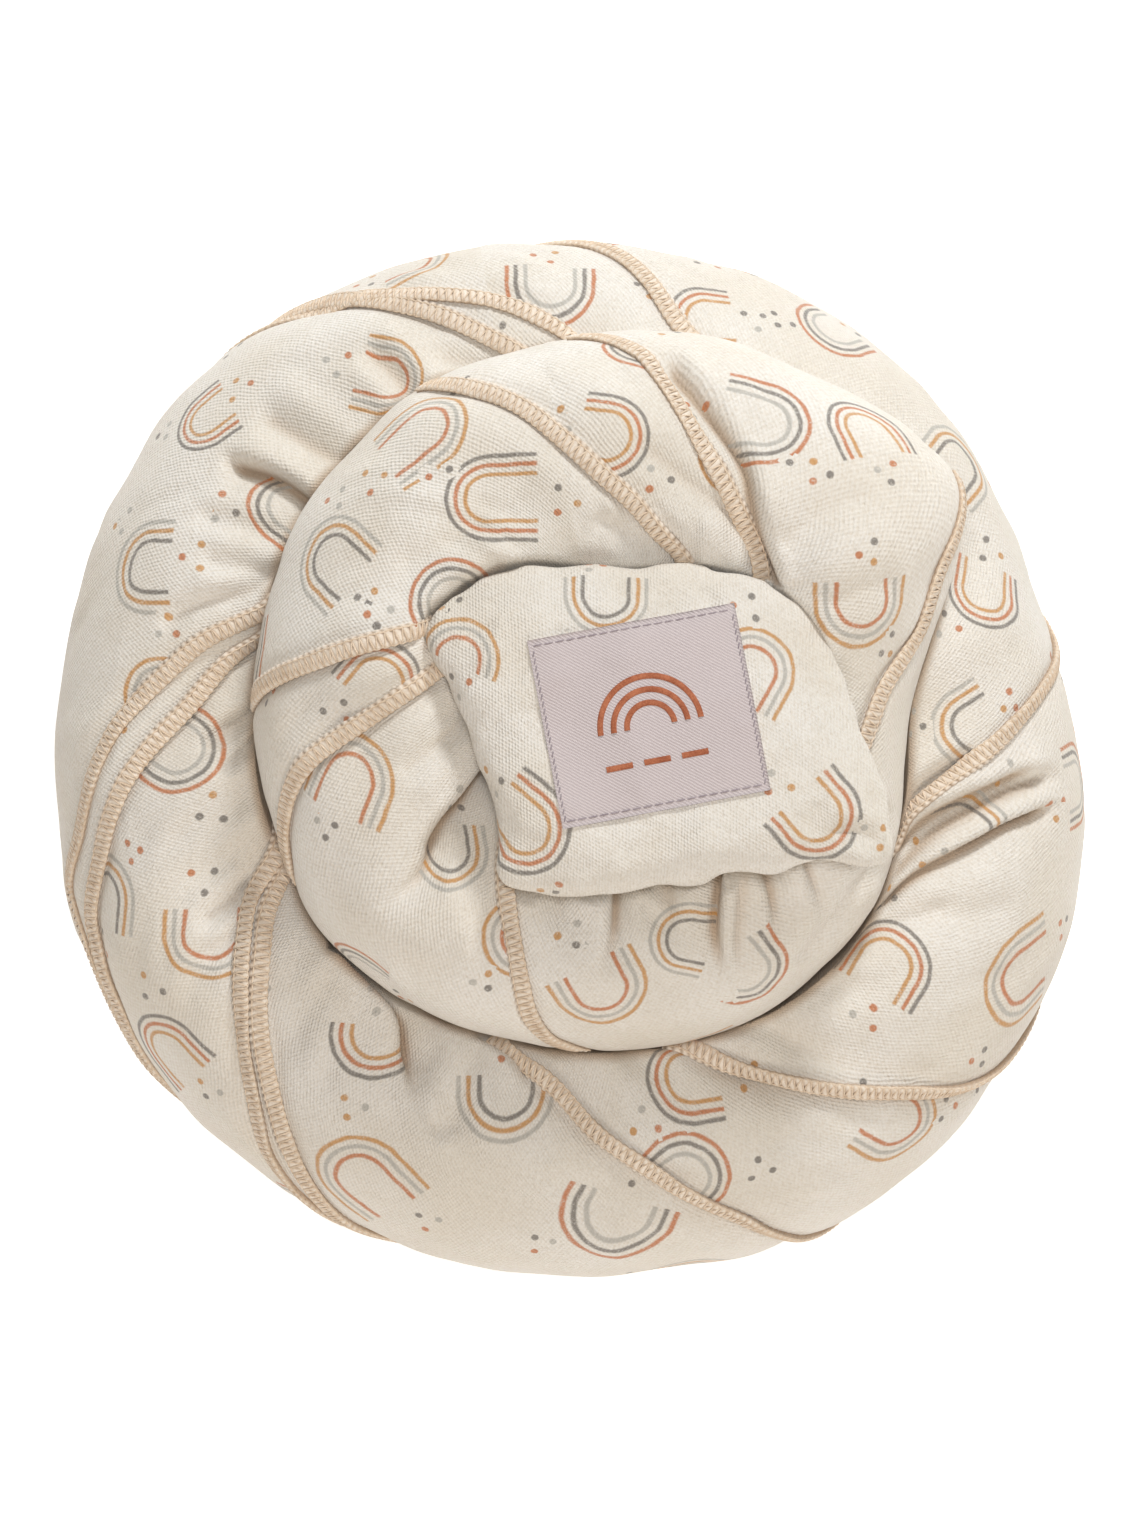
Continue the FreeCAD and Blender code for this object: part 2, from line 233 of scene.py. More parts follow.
def waves(points, wavelength, seed, count=20):
    """Smooth noise of about unit size: a sum of plane waves in all directions."""
    rng = np.random.default_rng(seed)
    out = np.zeros(points.shape[:-1])
    for _ in range(count):
        direction = unit(rng.normal(size=3)) * 2 * math.pi / (wavelength * rng.uniform(0.7, 1.4))
        out += np.sin(points @ direction + rng.uniform(0, 2 * math.pi))
    return out / math.sqrt(count / 2)


def about_x(points, centre, degrees):
    c, s = math.cos(math.radians(degrees)), math.sin(math.radians(degrees))
    p = points - centre
    return np.stack([p[..., 0], c * p[..., 1] - s * p[..., 2], s * p[..., 1] + c * p[..., 2]], -1) + centre


def seen_on(tree, points):
    """Where rays from the camera through seen positions meet a surface, and its normals there."""
    places, normals = [], []
    for x, y in points:
        target = np.array([x, y, REFERENCE_HEIGHT])
        place, normal, _, _ = tree.ray_cast(Vector(CAMERA_PLACE), Vector(unit(target - CAMERA_PLACE)))
        if place is not None:
            places.append(np.array(place))
            normals.append(np.array(normal))
    return np.array(places), np.array(normals)


def mesh_object(name, points, faces):
    """A smooth-shaded mesh object from points in millimetres."""
    mesh = bpy.data.meshes.new(name)
    faces = np.asarray(faces, np.int32)
    mesh.vertices.add(len(points))
    mesh.vertices.foreach_set("co", (np.asarray(points) * MM).astype(np.float32).ravel())
    mesh.loops.add(faces.size)
    mesh.loops.foreach_set("vertex_index", faces.ravel())
    mesh.polygons.add(len(faces))
    mesh.polygons.foreach_set("loop_start", np.arange(0, faces.size, faces.shape[1], dtype=np.int32))
    mesh.update(calc_edges=True)
    mesh.validate()
    mesh.polygons.foreach_set("use_smooth", np.ones(len(mesh.polygons), bool))
    obj = bpy.data.objects.new(name, mesh)
    bpy.context.scene.collection.objects.link(obj)
    return obj


def mesh_points(obj):
    co = np.empty(len(obj.data.vertices) * 3, np.float32)
    obj.data.vertices.foreach_get("co", co)
    return co.reshape(-1, 3).astype(float) / MM


def set_mesh_points(obj, points):
    obj.data.vertices.foreach_set("co", (points * MM).astype(np.float32).ravel())
    obj.data.update()


def mesh_normals(obj):
    normals = np.empty(len(obj.data.vertices) * 3, np.float32)
    obj.data.vertex_normals.foreach_get("vector", normals)
    return normals.reshape(-1, 3).astype(float)


def surface_tree(obj):
    polygons = [tuple(p.vertices) for p in obj.data.polygons]
    return BVHTree.FromPolygons([tuple(p) for p in mesh_points(obj)], polygons)


def set_corner_attribute(obj, name, values):
    attribute = obj.data.attributes.new(name, "FLOAT_VECTOR", "CORNER")
    attribute.data.foreach_set("vector", np.asarray(values, np.float32).ravel())


def set_point_attribute(obj, name, values):
    attribute = obj.data.attributes.new(name, "FLOAT", "POINT")
    attribute.data.foreach_set("value", np.asarray(values, np.float32))


def grid_faces(rows, columns, wrap_rows=False, wrap_columns=False):
    """Quads of a grid of points, rows by columns."""
    i = np.arange(rows if wrap_rows else rows - 1)[:, None]
    j = np.arange(columns if wrap_columns else columns - 1)[None, :]
    i2, j2 = (i + 1) % rows, (j + 1) % columns
    corners = [i * columns + j, i2 * columns + j, i2 * columns + j2, i * columns + j2]
    return np.stack([np.broadcast_to(c, (i.size, j.size)) for c in corners], -1).reshape(-1, 4)


# ---- Creases ------------------------------------------------------------------------------------
class Line:
    """A line on a surface, with its direction and the surface's normal along it."""

    def __init__(self, places, normals, step=1.0):
        self.places = curve_through(places, step)
        at = np.linspace(0, 1, len(self.places))
        source = np.linspace(0, 1, len(normals))
        self.normals = unit(np.stack([np.interp(at, source, normals[:, k]) for k in range(3)], 1))
        self.ahead = unit(np.gradient(self.places, axis=0))
        self.left = unit(np.cross(self.normals, self.ahead))
        self.at = at

    def near(self, points, reach):
        """Which points lie within reach, and for those how far to the left and how far past the ends
        they are, their share of the way along, and the direction to the left."""
        low, high = self.places.min(0) - reach, self.places.max(0) + reach
        rough = np.flatnonzero(((points > low) & (points < high)).all(1))
        close = points[rough]
        nearest = np.empty(len(close), int)
        for start in range(0, len(close), 4000):
            part = close[start:start + 4000]
            gaps = ((part[:, None] - self.places[None]) ** 2).sum(2)
            nearest[start:start + 4000] = gaps.argmin(1)
        offset = close - self.places[nearest]
        keep = np.linalg.norm(offset, axis=1) < reach
        offset, nearest = offset[keep], nearest[keep]
        side = (offset * self.left[nearest]).sum(1)
        past = np.abs((offset * self.ahead[nearest]).sum(1))
        return rough[keep], side, past, self.at[nearest], self.left[nearest]


WALL = 1.4                    # width of an overlapping fold's steep side
LEAN = 0.42                   # how far its edge leans over the low side, as a share of its depth
USUAL_FADE = 0.18


def crease(points, line, width, depth, low_side=0, start=USUAL_FADE, end=USUAL_FADE, aside=0.0):
    """How far a crease sinks each point, how much painted shade it gets there, and how far each point leans over. It
    has a sharp bottom and raised lips, and with a low side, one steep wall that overlaps that side."""
    index, side, past, share, left = line.near(points, 4 * width + aside)
    strength = depth * smooth(-1e-6, start, share) * smooth(-1e-6, end, 1 - share) * np.exp(-(past / 3.0) ** 2)
    sunk, dark, lean = np.zeros(len(points)), np.zeros(len(points)), np.zeros(points.shape)
    if low_side:
        side = side * low_side - aside
        shape = np.where(side > 0, np.exp(-side / width), np.exp(np.minimum(side, 0) / WALL))
        shape -= 0.16 * np.exp(-((side + 2.5 * WALL) / (1.6 * WALL)) ** 2)
        over = np.where(side < 0, (1 - np.exp(side / WALL)) * np.exp(side / width), 0.0)
        lean[index] = left * (low_side * LEAN * strength * over)[:, None]
        dark[index] = strength * np.exp(-((side - 0.6) / 2.2) ** 2)
    else:
        side = np.abs(side)
        shape = 0.5 * np.exp(-(side / width) ** 2) + 0.5 * np.exp(-side / (0.35 * width))
        shape -= 0.25 * np.exp(-((side - 1.9 * width) / (0.9 * width)) ** 2)
        dark[index] = strength * np.exp(-(side / (0.6 * width)) ** 2)
    sunk[index] = strength * shape
    return sunk, dark, lean


def seat_depth(points, line, width, depth):
    """How far the flat-bottomed seat of a hem sinks each point."""
    index, side, past, _, _ = line.near(points, 2 * width)
    out = np.zeros(len(points))
    out[index] = depth * (1 - smooth(0.55 * width, width, np.abs(side))) * np.exp(-(past / 3.0) ** 2)
    return out


# ---- Turns --------------------------------------------------------------------------------------
class Turn:
    """A closed turn of rope as a grid of points: rows round the bun, columns round the rope."""

    SEAM_ANGLE = 100.0            # where the grid's first row lies
    HEM_SEAT = (4.8, 0.9)         # half width and depth of the seat that a hem lies in
    HEM_STEP = 2.7                # from a hem's middle to the step down beside it
    STEP_WIDTH = 5.0              # how far from a hem the step beside it levels out
    STEEPEST = 0.5                # a hidden hem's most turning round the bun for its turning round the rope
    STEEPEST_END = 1.6            # the same where it comes into sight
    BEND = 0.3                    # how far round the rope it turns from the one slant to the other

    def __init__(self, centre, radius, rope, tilt, outline, rows, columns):
        self.centre, self.radius, self.rope, self.tilt = centre, radius, rope, tilt
        self.outline = outline
        self.rows, self.columns = rows, columns
        self.round = np.linspace(0, 2 * math.pi, rows, endpoint=False) + math.radians(self.SEAM_ANGLE)
        t = np.linspace(-math.pi / 2, 1.5 * math.pi, columns, endpoint=False)
        self.section = t - 0.35 * np.sin(t - math.pi / 2)
        theta, phi = np.meshgrid(self.round, self.section, indexing="ij")
        self.theta, self.phi = theta.ravel(), phi.ravel()
        self.out = self.direction(self.theta, self.phi)
        self.base = self.place(self.theta, self.phi, self.rope_at(self.theta, self.phi))
        self.faces = grid_faces(rows, columns, True, True)
        self.base_tree = BVHTree.FromPolygons([tuple(p) for p in self.base], self.faces.tolist())
        self.lines = []

    def direction(self, theta, phi):
        flat = np.stack([np.cos(theta) * np.cos(phi), np.sin(theta) * np.cos(phi), np.sin(phi)], -1)
        return about_x(flat, np.zeros(3), self.tilt)

    def middle(self, theta):
        ring = np.stack([np.cos(theta), np.sin(theta), 0 * theta], -1) * self.radius
        return about_x(ring, np.zeros(3), self.tilt) + self.centre

    def place(self, theta, phi, rho):
        return self.middle(theta) + self.direction(theta, phi) * np.asarray(rho)[..., None]

    def rope_at(self, theta, phi):
        """The rope's radius, fuller or leaner on its outer side to follow the turn's outline."""
        wanted = periodic_curve(self.outline, np.mod(theta / (2 * math.pi), 1.0))
        return self.rope + (wanted - self.radius - self.rope) * np.maximum(0, np.cos(phi))

    def shown(self, theta, phi):
        """Places on the finished surface at these angles, and the normals there."""
        grid = self.points.reshape(self.rows, self.columns, 3)
        round_way = np.roll(grid, -1, 0) - np.roll(grid, 1, 0)
        section_way = np.roll(grid, -1, 1) - np.roll(grid, 1, 1)
        normals = unit(np.cross(round_way, section_way))
        first = self.section[0]
        edges = np.append(self.section, first + 2 * math.pi)
        row = np.mod((theta - self.round[0]) / (2 * math.pi), 1.0) * self.rows
        column = np.interp(np.mod(phi - first, 2 * math.pi) + first, edges, np.arange(self.columns + 1.0))
        i, j = row.astype(int), column.astype(int)
        s, t = (row - i)[:, None], (column - j)[:, None]
        i2, j2 = (i + 1) % self.rows, (j + 1) % self.columns
        i, j = i % self.rows, j % self.columns
        found = []
        for field in (grid, normals):
            near = (1 - s) * field[i, j] + s * field[i2, j]
            far = (1 - s) * field[i, j2] + s * field[i2, j2]
            found.append((1 - t) * near + t * far)
        return found[0], unit(found[1])

    def angles(self, points):
        """The round and section angles of points."""
        flat = about_x(points, self.centre, -self.tilt) - self.centre
        theta = np.arctan2(flat[:, 1], flat[:, 0])
        phi = np.arctan2(flat[:, 2], np.hypot(flat[:, 0], flat[:, 1]) - self.radius)
        return theta, phi

    def line(self, seen, ends=None):
        """A line through seen positions, run on to these section angles at the same slant if asked."""
        places, normals = seen_on(self.base_tree, seen)
        if ends is not None:
            theta, phi = self.angles(places)
            theta = np.unwrap(theta)
            slant = np.clip((theta[-1] - theta[0]) / (phi[-1] - phi[0]), -self.STEEPEST, self.STEEPEST)
            slants = [(theta[b] - theta[a]) / (phi[b] - phi[a]) for a, b in ((0, 1), (-2, -1))]
            slants = np.clip(slants, -self.STEEPEST_END, self.STEEPEST_END)
            inner, outer = (math.radians(end) for end in ends)
            before = np.arange(phi[0] + 0.2, inner, 0.2)[::-1]
            after = np.arange(phi[-1] - 0.25, outer, -0.25)
            for steps, end, order in ((before, 0, (1, 0)), (after, -1, (0, 1))):
                beyond = steps - phi[end]
                bend = self.BEND * np.sign(beyond) * (1 - np.exp(-np.abs(beyond) / self.BEND))
                theta_on = theta[end] + slant * beyond + (slants[end] - slant) * bend
                rope = self.rope_at(theta_on, steps)
                extra = self.place(theta_on, steps, rope), self.direction(theta_on, steps)
                both = [(places, extra[0]), (normals, extra[1])]
                places, normals = (np.vstack([pair[k] for k in order]) for pair in both)
        return Line(places, normals)

    def shape(self, hems, creases, seed, hem_ends, settle=lambda points: points):
        """Adds soft lumps and wrinkles, settles the surface, and sinks the hems' seats and the creases."""
        self.lines = [self.line(seen, hem_ends) for seen, _, _ in hems]
        self.cuts = list(self.lines)
        sunk = np.zeros(len(self.base))
        for line in self.lines:
            sunk = np.maximum(sunk, seat_depth(self.base, line, *self.HEM_SEAT))
        folds = [(line, self.STEP_WIDTH, deep, low, 0.1, 0.1, self.HEM_STEP)
                 for line, (_, low, deep) in zip(self.lines, hems) if low]
        for seen, *rest in creases:
            folds.append((self.line(seen), *rest))
            if folds[-1][3]:
                self.cuts.append(folds[-1][0])
        dark, lean = np.zeros(len(self.base)), np.zeros(self.base.shape)
        for fold in folds:
            more_sunk, more_painted_shade, more_lean = crease(self.base, *fold)
            sunk += more_sunk
            dark = np.maximum(dark, more_painted_shade)
            lean += more_lean
        stretched = self.stretched_points()
        calm = 1 - 0.75 * np.maximum(0, np.cos(self.phi))
        lumps = calm * (1.3 * waves(self.base, 46, seed) + 0.5 * waves(stretched, 15, seed + 1))
        rumpled = calm * smooth(-0.2, 1.2, waves(self.base, 34, seed + 3))
        wrinkles = (0.05 + 0.55 * rumpled) * waves(stretched, 7.5, seed + 2)
        # The creases' painted shade, kept for the material as the sunk attribute
        self.sunk = dark
        ground = settle(self.base + self.out * (lumps + wrinkles)[:, None])
        self.points = ground + self.evened(lean - self.out * sunk[:, None])

    def evened(self, values):
        """Values on the grid, each averaged a little with its neighbours."""
        grid = values.reshape(self.rows, self.columns, -1)
        for axis in (0, 1):
            grid = 0.5 * grid + 0.25 * (np.roll(grid, 1, axis) + np.roll(grid, -1, axis))
        return grid.reshape(values.shape)

    def stretched_points(self):
        """Grid positions laid flat, drawn out along the cloth's slant round the rope."""
        across, along = self.cloth_axes(self.theta, self.phi)
        return np.stack([across, along / 3.5, 0 * along], -1)

    def cloth_axes(self, theta, phi):
        """Cloth distances square to the hems and along them."""
        round_way, section_way = theta * self.radius, phi * self.rope
        return 0.82 * round_way + 0.57 * section_way, 0.57 * round_way - 0.82 * section_way

    def build(self, name):
        obj = mesh_object(name, self.points, self.faces)
        rows, columns = self.rows, self.columns
        i, j = np.meshgrid(np.arange(rows), np.arange(columns), indexing="ij")
        theta = np.append(self.round, self.round[0] + 2 * math.pi)
        phi = np.append(self.section, self.section[0] + 2 * math.pi)
        corners = []
        for di, dj in ((0, 0), (1, 0), (1, 1), (0, 1)):
            across, along = self.cloth_axes(theta[i + di], phi[j + dj])
            corners.append(np.stack([across, along, 0 * along], -1))
        set_corner_attribute(obj, "cloth", np.stack(corners, 2))
        # The sunk attribute is painted shade for the creases
        set_point_attribute(obj, "sunk", self.sunk)
        return obj


def gap_to(points, turn):
    """The nearest places in the middle of a turn's rope, the ways from there, and the gaps to the rope."""
    theta, phi = turn.angles(points)
    middle = turn.middle(theta)
    away = points - middle
    length = np.linalg.norm(away, axis=1)
    rope = turn.rope_at(theta, phi)
    return middle, away / length[:, None], rope, length - rope


def drawn_up(points, turn):
    """Pushes points out of a turn's rope, and draws those near it up to it."""
    middle, away, rope, gap = gap_to(points, turn)
    gap = np.maximum(gap, 0)
    snug = PRESS_GAP + gap * (1 - np.exp(-gap / 7.0)) + CREVICE * np.exp(-gap / 3.0)
    return np.where((gap < 40.0)[:, None], middle + away * (rope + snug)[:, None], points)


def kept_clear(points, turn):
    """Pushes points out of a turn's rope. Also returns their gaps."""
    middle, away, rope, gap = gap_to(points, turn)
    clear = np.maximum(gap, PRESS_GAP)
    return middle + away * (rope + clear)[:, None], clear


def rest_on_floor(points):
    """Flattens what hangs below the floor, with a rounded turn-in."""
    height = points[:, 2] - FLOOR_GAP
    soft = 3.0
    points[:, 2] = FLOOR_GAP + np.where(height > soft, height, soft * np.exp(np.minimum(height / soft - 1, 0)))
    return points


# ---- The loose end ------------------------------------------------------------------------------
def on_flap_plane(points):
    """From the loose end's own plane to the row frame."""
    return about_x(np.asarray(points, float) + FLAP_HINGE, FLAP_HINGE, -FLAP_TILT)


def to_flap_plane(points):
    return about_x(points, FLAP_HINGE, FLAP_TILT) - FLAP_HINGE


def inset_outline(distance, count):
    """The loose end's outline as a smooth closed ring of points, moved inwards."""
    corners = np.array(FLAP_OUTLINE, float)
    ring = curve_through(np.vstack([corners, corners[:1]]), 1.0)
    at = np.linspace(0, len(ring) - 1, count, endpoint=False)
    ring = np.stack([np.interp(at, np.arange(len(ring)), ring[:, k]) for k in (0, 1)], 1)
    ahead = unit(np.roll(ring, -1, 0) - np.roll(ring, 1, 0))
    return ring + np.stack([-ahead[:, 1], ahead[:, 0]], 1) * -distance


def outline_distance(xy, outline):
    """Distance from points to the outline, negative inside."""
    a, b = outline, np.roll(outline, -1, axis=0)
    edge = b - a
    best = np.full(len(xy), 1e9)
    crossings = np.zeros(len(xy), int)
    for start, step in zip(a, edge):
        rel = xy - start
        t = np.clip((rel @ step) / (step @ step), 0, 1)
        best = np.minimum(best, np.linalg.norm(rel - t[:, None] * step, axis=1))
        end = start + step
        spans = (start[1] > xy[:, 1]) != (end[1] > xy[:, 1])
        with np.errstate(divide="ignore", invalid="ignore"):
            x_cross = start[0] + (xy[:, 1] - start[1]) / step[1] * step[0]
        crossings += spans & (xy[:, 0] < x_cross)
    return np.where(crossings % 2 == 1, -best, best)


def press_under_flap(points):
    """Sinks the surface under the loose end, so that the end lies in a hollow, which is wider and deeper
    along its front edge."""
    local = to_flap_plane(points)
    distance = outline_distance(local[:, :2], inset_outline(0, 120))
    front = smooth(-50, -64, local[:, 1])
    reach = 4.0 + 12.0 * front
    share = np.clip((distance + 1) / (reach + 1), 0, 1)
    ceiling = -FLAP_THICKNESS / 2 - 1.0 - 3.0 * front + (14.0 + 4.0 * front) * smooth(0, 1, share)
    local[:, 2] = np.minimum(local[:, 2], np.where(distance < reach, ceiling, np.inf))
    return on_flap_plane(local)


def simulate(obj, pressure, frames, cap, shrink=0.0):
    """Puffs a closed mesh with Cloth under pressure, and keeps each point within cap of its start."""
    start = mesh_points(obj)
    scene = bpy.context.scene
    cloth = obj.modifiers.new("Cloth", "CLOTH")
    settings = cloth.settings
    settings.quality = 6
    settings.use_pressure = True
    settings.uniform_pressure_force = pressure
    settings.effector_weights.gravity = 0
    settings.tension_stiffness = 15
    settings.compression_stiffness = 15
    settings.bending_stiffness = 0.4
    settings.shrink_min = shrink
    for number in range(1, frames + 1):
        scene.frame_set(number)
    graph = bpy.context.evaluated_depsgraph_get()
    moved = np.empty(len(obj.data.vertices) * 3, np.float32)
    obj.evaluated_get(graph).data.vertices.foreach_get("co", moved)
    obj.modifiers.remove(cloth)
    scene.frame_set(1)
    shift = moved.reshape(-1, 3) / MM - start
    length = np.linalg.norm(shift, axis=1, keepdims=True)
    set_mesh_points(obj, start + shift * np.minimum(1, cap / np.maximum(length, 1e-6)))


def apply_modifiers(obj):
    graph = bpy.context.evaluated_depsgraph_get()
    mesh = bpy.data.meshes.new_from_object(obj.evaluated_get(graph))
    obj.modifiers.clear()
    obj.data = mesh
    mesh.polygons.foreach_set("use_smooth", np.ones(len(mesh.polygons), bool))


FLAP_DRAWN_IN = 3.2


def make_flap():
    """The folded loose end: a slack pillow, puffed by a cloth simulation, which draws its rim in."""
    ring = inset_outline(-FLAP_DRAWN_IN, 96)
    half = FLAP_THICKNESS / 2 - 2.0
    top = np.column_stack([ring, np.full(len(ring), half)])
    bottom = np.column_stack([ring, np.full(len(ring), -half)])
    count = len(ring)
    mesh = bpy.data.meshes.new("end_flap_cloth")
    sides = [(i, (i + 1) % count, count + (i + 1) % count, count + i) for i in range(count)]
    caps = [tuple(range(count))[::-1], tuple(range(count, 2 * count))]
    points = on_flap_plane(np.vstack([bottom, top])) * MM
    mesh.from_pydata([tuple(p) for p in points], [], sides + caps)
    obj = bpy.data.objects.new("end_flap_cloth", mesh)
    bpy.context.scene.collection.objects.link(obj)
    remesh = obj.modifiers.new("Remesh", "REMESH")
    remesh.mode = "VOXEL"
    remesh.voxel_size = 4.0 * MM
    apply_modifiers(obj)
    simulate(obj, pressure=4.0, frames=20, cap=5.5)
    settle = obj.modifiers.new("Smooth", "SMOOTH")
    settle.factor, settle.iterations = 0.5, 8
    subdivide = obj.modifiers.new("Subdivision", "SUBSURF")
    subdivide.levels = 2
    apply_modifiers(obj)
    points, normals, tree = mesh_points(obj), mesh_normals(obj), surface_tree(obj)
    rise = 0.5 * waves(points, 24, 31) + 0.12 * waves(points, 9, 32)
    for seen, wide, deep in FLAP_CREASES:
        rise -= crease(points, Line(*seen_on(tree, seen)), wide, deep)[0]
    set_mesh_points(obj, points + normals * rise[:, None])
    return obj


# ---- The print ----------------------------------------------------------------------------------
class Marks:
    """The print's marks on one piece. Each face near a mark gets its corners' places in the mark's own
    plane, in millimetres, and the mark's kind: 0 to 3 an arch's colourway, 4 to 7 a dot's colour. The
    cloth was printed flat, so the marks lie on the smooth points that it was creased from."""

    DOT_KINDS = 4
    CUT_REACH = 26.0              # a fold cuts the marks this near it

    def __init__(self, obj, seed, smooth_points, cuts):
        self.obj = obj
        self.shown = mesh_points(obj)
        self.points = self.shown if smooth_points is None else smooth_points
        corners = np.empty(len(obj.data.loops), np.int32)
        obj.data.loops.foreach_get("vertex_index", corners)
        self.faces = corners.reshape(-1, 4)
        self.tree = BVHTree.FromPolygons([tuple(p) for p in self.points], self.faces.tolist())
        self.shown_tree = BVHTree.FromPolygons([tuple(p) for p in self.shown], self.faces.tolist())
        quads = self.points[self.faces]
        self.centres = quads.mean(1)
        self.normals = unit(np.cross(quads[:, 2] - quads[:, 0], quads[:, 3] - quads[:, 1]))
        self.values = np.full((len(self.faces), 4, 3), NO_PRINT)
        self.arches = []
        self.rng = np.random.default_rng(seed)
        self.sides = np.zeros((len(self.faces), len(cuts)))
        for number, line in enumerate(cuts):
            index, side, past, _, _ = line.near(self.centres, self.CUT_REACH)
            level = past < 1.5
            self.sides[index[level], number] = side[level]

    def add_seen(self, arches):
        """Arches at seen positions, their closed ends towards seen directions in degrees."""
        for x, y, kind, degrees, size, leg in arches:
            target = np.array([x, y, REFERENCE_HEIGHT])
            _, _, face, _ = self.shown_tree.ray_cast(Vector(CAMERA_PLACE), Vector(unit(target - CAMERA_PLACE)))
            if face is None:
                continue
            place, normal = self.centres[face], self.normals[face]
            towards = np.array([math.cos(math.radians(degrees)), math.sin(math.radians(degrees)), 0.0])
            if normal[2] > 0.25:
                towards[2] = -(towards @ normal) / normal[2]
            self.add(place, normal, towards, kind, size, leg)

    def add(self, place, normal, towards, kind, size=1.0, leg=USUAL_LEG):
        """An arch is printed on the side of each fold where its closed end lies."""
        v = unit(towards - (towards @ normal) * normal)
        _, _, home, _ = self.tree.find_nearest(Vector(place + v * 0.8 * size * ARCH_RADII[0]))
        self.arches.append((place, normal, np.cross(v, normal), v, kind, size, leg, home))

    def scatter(self, spacing, allowed):
        """Arches with no seen position, over the allowed faces, at least spacing apart."""
        order = self.rng.permutation(np.flatnonzero(allowed))
        placed = np.array([a[0] for a in self.arches]).reshape(-1, 3)
        for face in order[:6000]:
            place = self.centres[face]
            if len(placed) and np.linalg.norm(placed - place, axis=1).min() < spacing:
                continue
            placed = np.vstack([placed, place])
            self.add(place, self.normals[face], unit(self.rng.normal(size=3)), int(self.rng.integers(4)))

    def dots_round(self, arch):
        """Places for loose groups of dots by the open end of an arch, and sometimes by its closed end."""
        place, _, u_axis, v_axis, _, size, leg, _ = arch
        middles = [(self.rng.uniform(-4, 4), -leg - self.rng.uniform(4.5, 7))]
        if self.rng.random() < 0.75:
            side = self.rng.choice([-1, 1])
            middles.append((side * self.rng.uniform(9, 13), ARCH_RADII[0] + self.rng.uniform(2, 5)))
        found = []
        for across, ahead in middles:
            turn = self.rng.uniform(0, 2 * math.pi)
            for number in range(int(self.rng.integers(3, 5))):
                angle = turn + number * 2.2
                reach = self.rng.uniform(2.6, 4.2)
                u, v = size * across + reach * math.cos(angle), size * ahead + reach * math.sin(angle)
                found.append(place + u_axis * u + v_axis * v)
        return found

    def stamp(self, place, normal, u_axis, v_axis, kind, size, leg, home, reach, inside):
        rel = self.centres - place
        near = np.flatnonzero((np.abs(rel) < reach).all(1) & (self.normals @ normal > 0.15))
        near = near[~(self.sides[near] * self.sides[home] < 0).any(1)]
        rel = self.points[self.faces[near]] - place
        u, v = rel @ u_axis, rel @ v_axis
        grow = np.linalg.norm(rel, axis=-1) / np.maximum(np.hypot(u, v), 1e-6)
        grow = np.clip(grow, 1, 1.5)
        u, v = u * grow / size, v * grow / size
        v = np.where(v < 0, v * USUAL_LEG / leg, v)
        keep = inside(u.mean(1), v.mean(1))
        self.values[near[keep]] = np.stack([u, v, np.full_like(u, kind)], -1)[keep]

    def finish(self):
        top = ARCH_RADII[0] + 2.0

        def in_arch(u, v):
            return (np.abs(u) < top) & (v > -USUAL_LEG - 2.0) & (np.hypot(u, np.maximum(v, 0)) < top)

        def in_dot(u, v):
            return np.hypot(u, v) < 2.6

        for arch in self.arches:
            self.stamp(*arch, 25.0, in_arch)
        places = np.array([a[0] for a in self.arches])
        for number, arch in enumerate(self.arches):
            for spot in self.dots_round(arch):
                others = np.delete(places, number, 0)
                if len(others) and np.linalg.norm(others - spot, axis=1).min() < ARCH_RADII[0] + 2:
                    continue
                place, normal, home, _ = self.tree.find_nearest(Vector(spot))
                if place is None:
                    continue
                place, normal = np.array(place), np.array(normal)
                u_axis = unit(np.cross(normal, [0.3, 0.5, 0.81]))
                kind = self.DOT_KINDS + int(self.rng.integers(4))
                self.stamp(place, normal, u_axis, np.cross(normal, u_axis), kind, 1.0, USUAL_LEG, home, 4.0, in_dot)
        set_corner_attribute(self.obj, "mark", self.values)


# ---- Overlocked edges ---------------------------------------------------------------------------
class Path:
    """A path on a finished surface, with a frame at each point, for strips and threads to follow."""

    def __init__(self, places, normals, window=11):
        self.places = self.soften(places, window)
        self.up = unit(self.soften(normals, 2 * window))
        self.ahead = unit(np.gradient(self.places, axis=0))
        self.left = unit(np.cross(self.up, self.ahead))
        steps = np.linalg.norm(np.diff(self.places, axis=0), axis=1)
        self.length = np.concatenate([[0], np.cumsum(steps)])

    @staticmethod
    def soften(values, window):
        kernel = np.hanning(window + 2)[1:-1]
        kernel /= kernel.sum()
        half = window // 2
        padded = np.pad(values, ((half, window - 1 - half), (0, 0)), mode="edge")
        return np.stack([np.convolve(padded[:, k], kernel, "valid") for k in range(3)], 1)

    def at(self, along, across, height):
        """Points along the path, moved sideways and then up from the surface."""
        def read(values):
            return np.stack([np.interp(along, self.length, values[:, k]) for k in range(3)], -1)
        up = unit(read(self.up))
        flat = read(self.places) + read(self.left) * across[..., None]
        return flat + up * height[..., None], up


def tube(path_points, ups, radius, sides=5):
    """Points and faces of an open tube."""
    ahead = unit(np.gradient(path_points, axis=0))
    side = unit(np.cross(ahead, ups))
    top = np.cross(side, ahead)
    turn = np.linspace(0, 2 * math.pi, sides, endpoint=False)
    ring = side[:, None] * np.cos(turn)[None, :, None] + top[:, None] * np.sin(turn)[None, :, None]
    points = path_points[:, None] + ring * radius
    faces = grid_faces(len(path_points), sides, False, True)
    return points.reshape(-1, 3), faces


